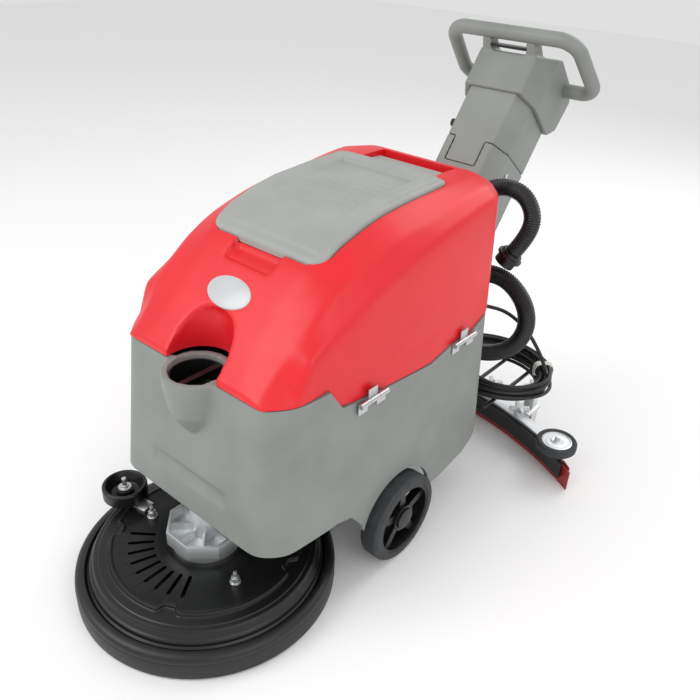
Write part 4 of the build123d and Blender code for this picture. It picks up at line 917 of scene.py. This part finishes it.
class StageSettings(bpy.types.PropertyGroup):
    camera_place: FloatVectorProperty(name="Camera", description="Where the camera stands, from the axle",
                                      default=(0.8940, -0.9837, 1.1974), unit="LENGTH")
    azimuth: FloatProperty(name="Azimuth", description="Turn from straight ahead", default=radians(39.12),
                           subtype="ANGLE", unit="ROTATION")
    elevation: FloatProperty(name="Elevation", description="Height angle of the camera", default=radians(30.76),
                             subtype="ANGLE", unit="ROTATION")
    roll: FloatProperty(name="Roll", description="Tilt of the frame", default=radians(2.99), subtype="ANGLE",
                        unit="ROTATION")
    lens: FloatProperty(name="Lens", description="Focal length on a 36 mm wide frame", default=37.82,
                        subtype="DISTANCE_CAMERA")
    floor: FloatVectorProperty(name="Floor", description="Colour of floor and backdrop", default=(0.93, 0.93, 0.93),
                               subtype="COLOR")


class SCRUBBER_OT_stage(bpy.types.Operator):
    """Builds the pale floor, the soft lights and the camera"""
    bl_idname = "scrubber.stage"
    bl_label = "Stage"

    def execute(self, context):
        settings = context.scene.scrubber_stage
        scene = context.scene
        a, e, r = settings.azimuth, settings.elevation, settings.roll
        back = Vector((sin(a) * cos(e), -cos(a) * cos(e), sin(e)))
        right = Vector((0, 0, 1)).cross(back).normalized()
        up = back.cross(right)
        right, up = right * cos(r) + up * sin(r), up * cos(r) - right * sin(r)
        lens = bpy.data.cameras.new("camera")
        lens.lens = settings.lens
        lens.sensor_width = 36.0
        camera = bpy.data.objects.new("camera", lens)
        place = Vector(settings.camera_place) + Vector((0, AXLE_Y, 0))
        camera.matrix_world = Matrix.Translation(place) @ Matrix((right, up, back)).transposed().to_4x4()
        scene.collection.objects.link(camera)
        scene.camera = camera
        scene.view_settings.view_transform = "Standard"
        self.floor(scene, settings)
        self.lights(scene)
        return {"FINISHED"}

    def floor(self, scene, settings):
        mesh = bpy.data.meshes.new("studio_floor")
        mesh.from_pydata([(-9, -9, 0), (9, -9, 0), (9, 9, 0), (-9, 9, 0)], [], [(0, 1, 2, 3)])
        piece = bpy.data.objects.new("studio_floor", mesh)
        scene.collection.objects.link(piece)
        made, tree = empty_material("matt white floor paint")
        shader = add(tree, "ShaderNodeBsdfPrincipled", Base_Color=(*settings.floor, 1.0), Roughness=0.85)
        finish_shader(tree, shader)
        mesh.materials.append(made)
        world = bpy.data.worlds.new("studio")
        world.use_nodes = True
        world.node_tree.nodes["Background"].inputs["Color"].default_value = (1.0, 1.0, 1.0, 1.0)
        world.node_tree.nodes["Background"].inputs["Strength"].default_value = 0.75
        scene.world = world

    def lights(self, scene):
        for name, place, aim, power, size in (
                ("key", (-1.2, -2.6, 2.8), (0, -0.1, 0.4), 55, 2.2),
                ("fill", (3.0, -1.0, 2.2), (0, 0, 0.4), 28, 2.6),
                ("rim", (0.4, 2.6, 2.6), (0, 0, 0.5), 30, 2.0)):
            lamp = bpy.data.lights.new(name, "AREA")
            lamp.energy = power
            lamp.size = size
            light = bpy.data.objects.new(name, lamp)
            look = (Vector(aim) - Vector(place)).to_track_quat("-Z", "Y")
            light.matrix_world = Matrix.Translation(place) @ look.to_matrix().to_4x4()
            scene.collection.objects.link(light)


class SCRUBBER_PT_panel(bpy.types.Panel):
    bl_idname = "SCRUBBER_PT_panel"
    bl_label = "Floor Scrubber"
    bl_space_type = "VIEW_3D"
    bl_region_type = "UI"
    bl_category = "Floor Scrubber"

    def draw(self, context):
        for operator in OPERATORS:
            self.layout.operator(operator.bl_idname)
        for name in SETTINGS:
            group = getattr(context.scene, name)
            for prop in group.bl_rna.properties:
                if prop.identifier not in {"rna_type", "name"}:
                    self.layout.prop(group, prop.identifier)


SETTINGS = {"scrubber_finish": FinishSettings, "scrubber_cord": CordSettings, "scrubber_tank": TankSettings,
            "scrubber_stage": StageSettings}
OPERATORS = (SCRUBBER_OT_stage, SCRUBBER_OT_finishes, SCRUBBER_OT_cords, SCRUBBER_OT_red_tank, SCRUBBER_OT_grey_body,
             SCRUBBER_OT_lid, SCRUBBER_OT_column, SCRUBBER_OT_deck, SCRUBBER_OT_small_parts)


def register():
    for group in (*SETTINGS.values(), *OPERATORS, SCRUBBER_PT_panel):
        bpy.utils.register_class(group)
    for name, group in SETTINGS.items():
        setattr(bpy.types.Scene, name, bpy.props.PointerProperty(type=group))


def unregister():
    for name in SETTINGS:
        delattr(bpy.types.Scene, name)
    for group in reversed((*SETTINGS.values(), *OPERATORS, SCRUBBER_PT_panel)):
        bpy.utils.unregister_class(group)


def main():
    register()
    for operator in OPERATORS:
        group, name = operator.bl_idname.split(".")
        getattr(getattr(bpy.ops, group), name)()


if __name__ == "__main__":
    main()
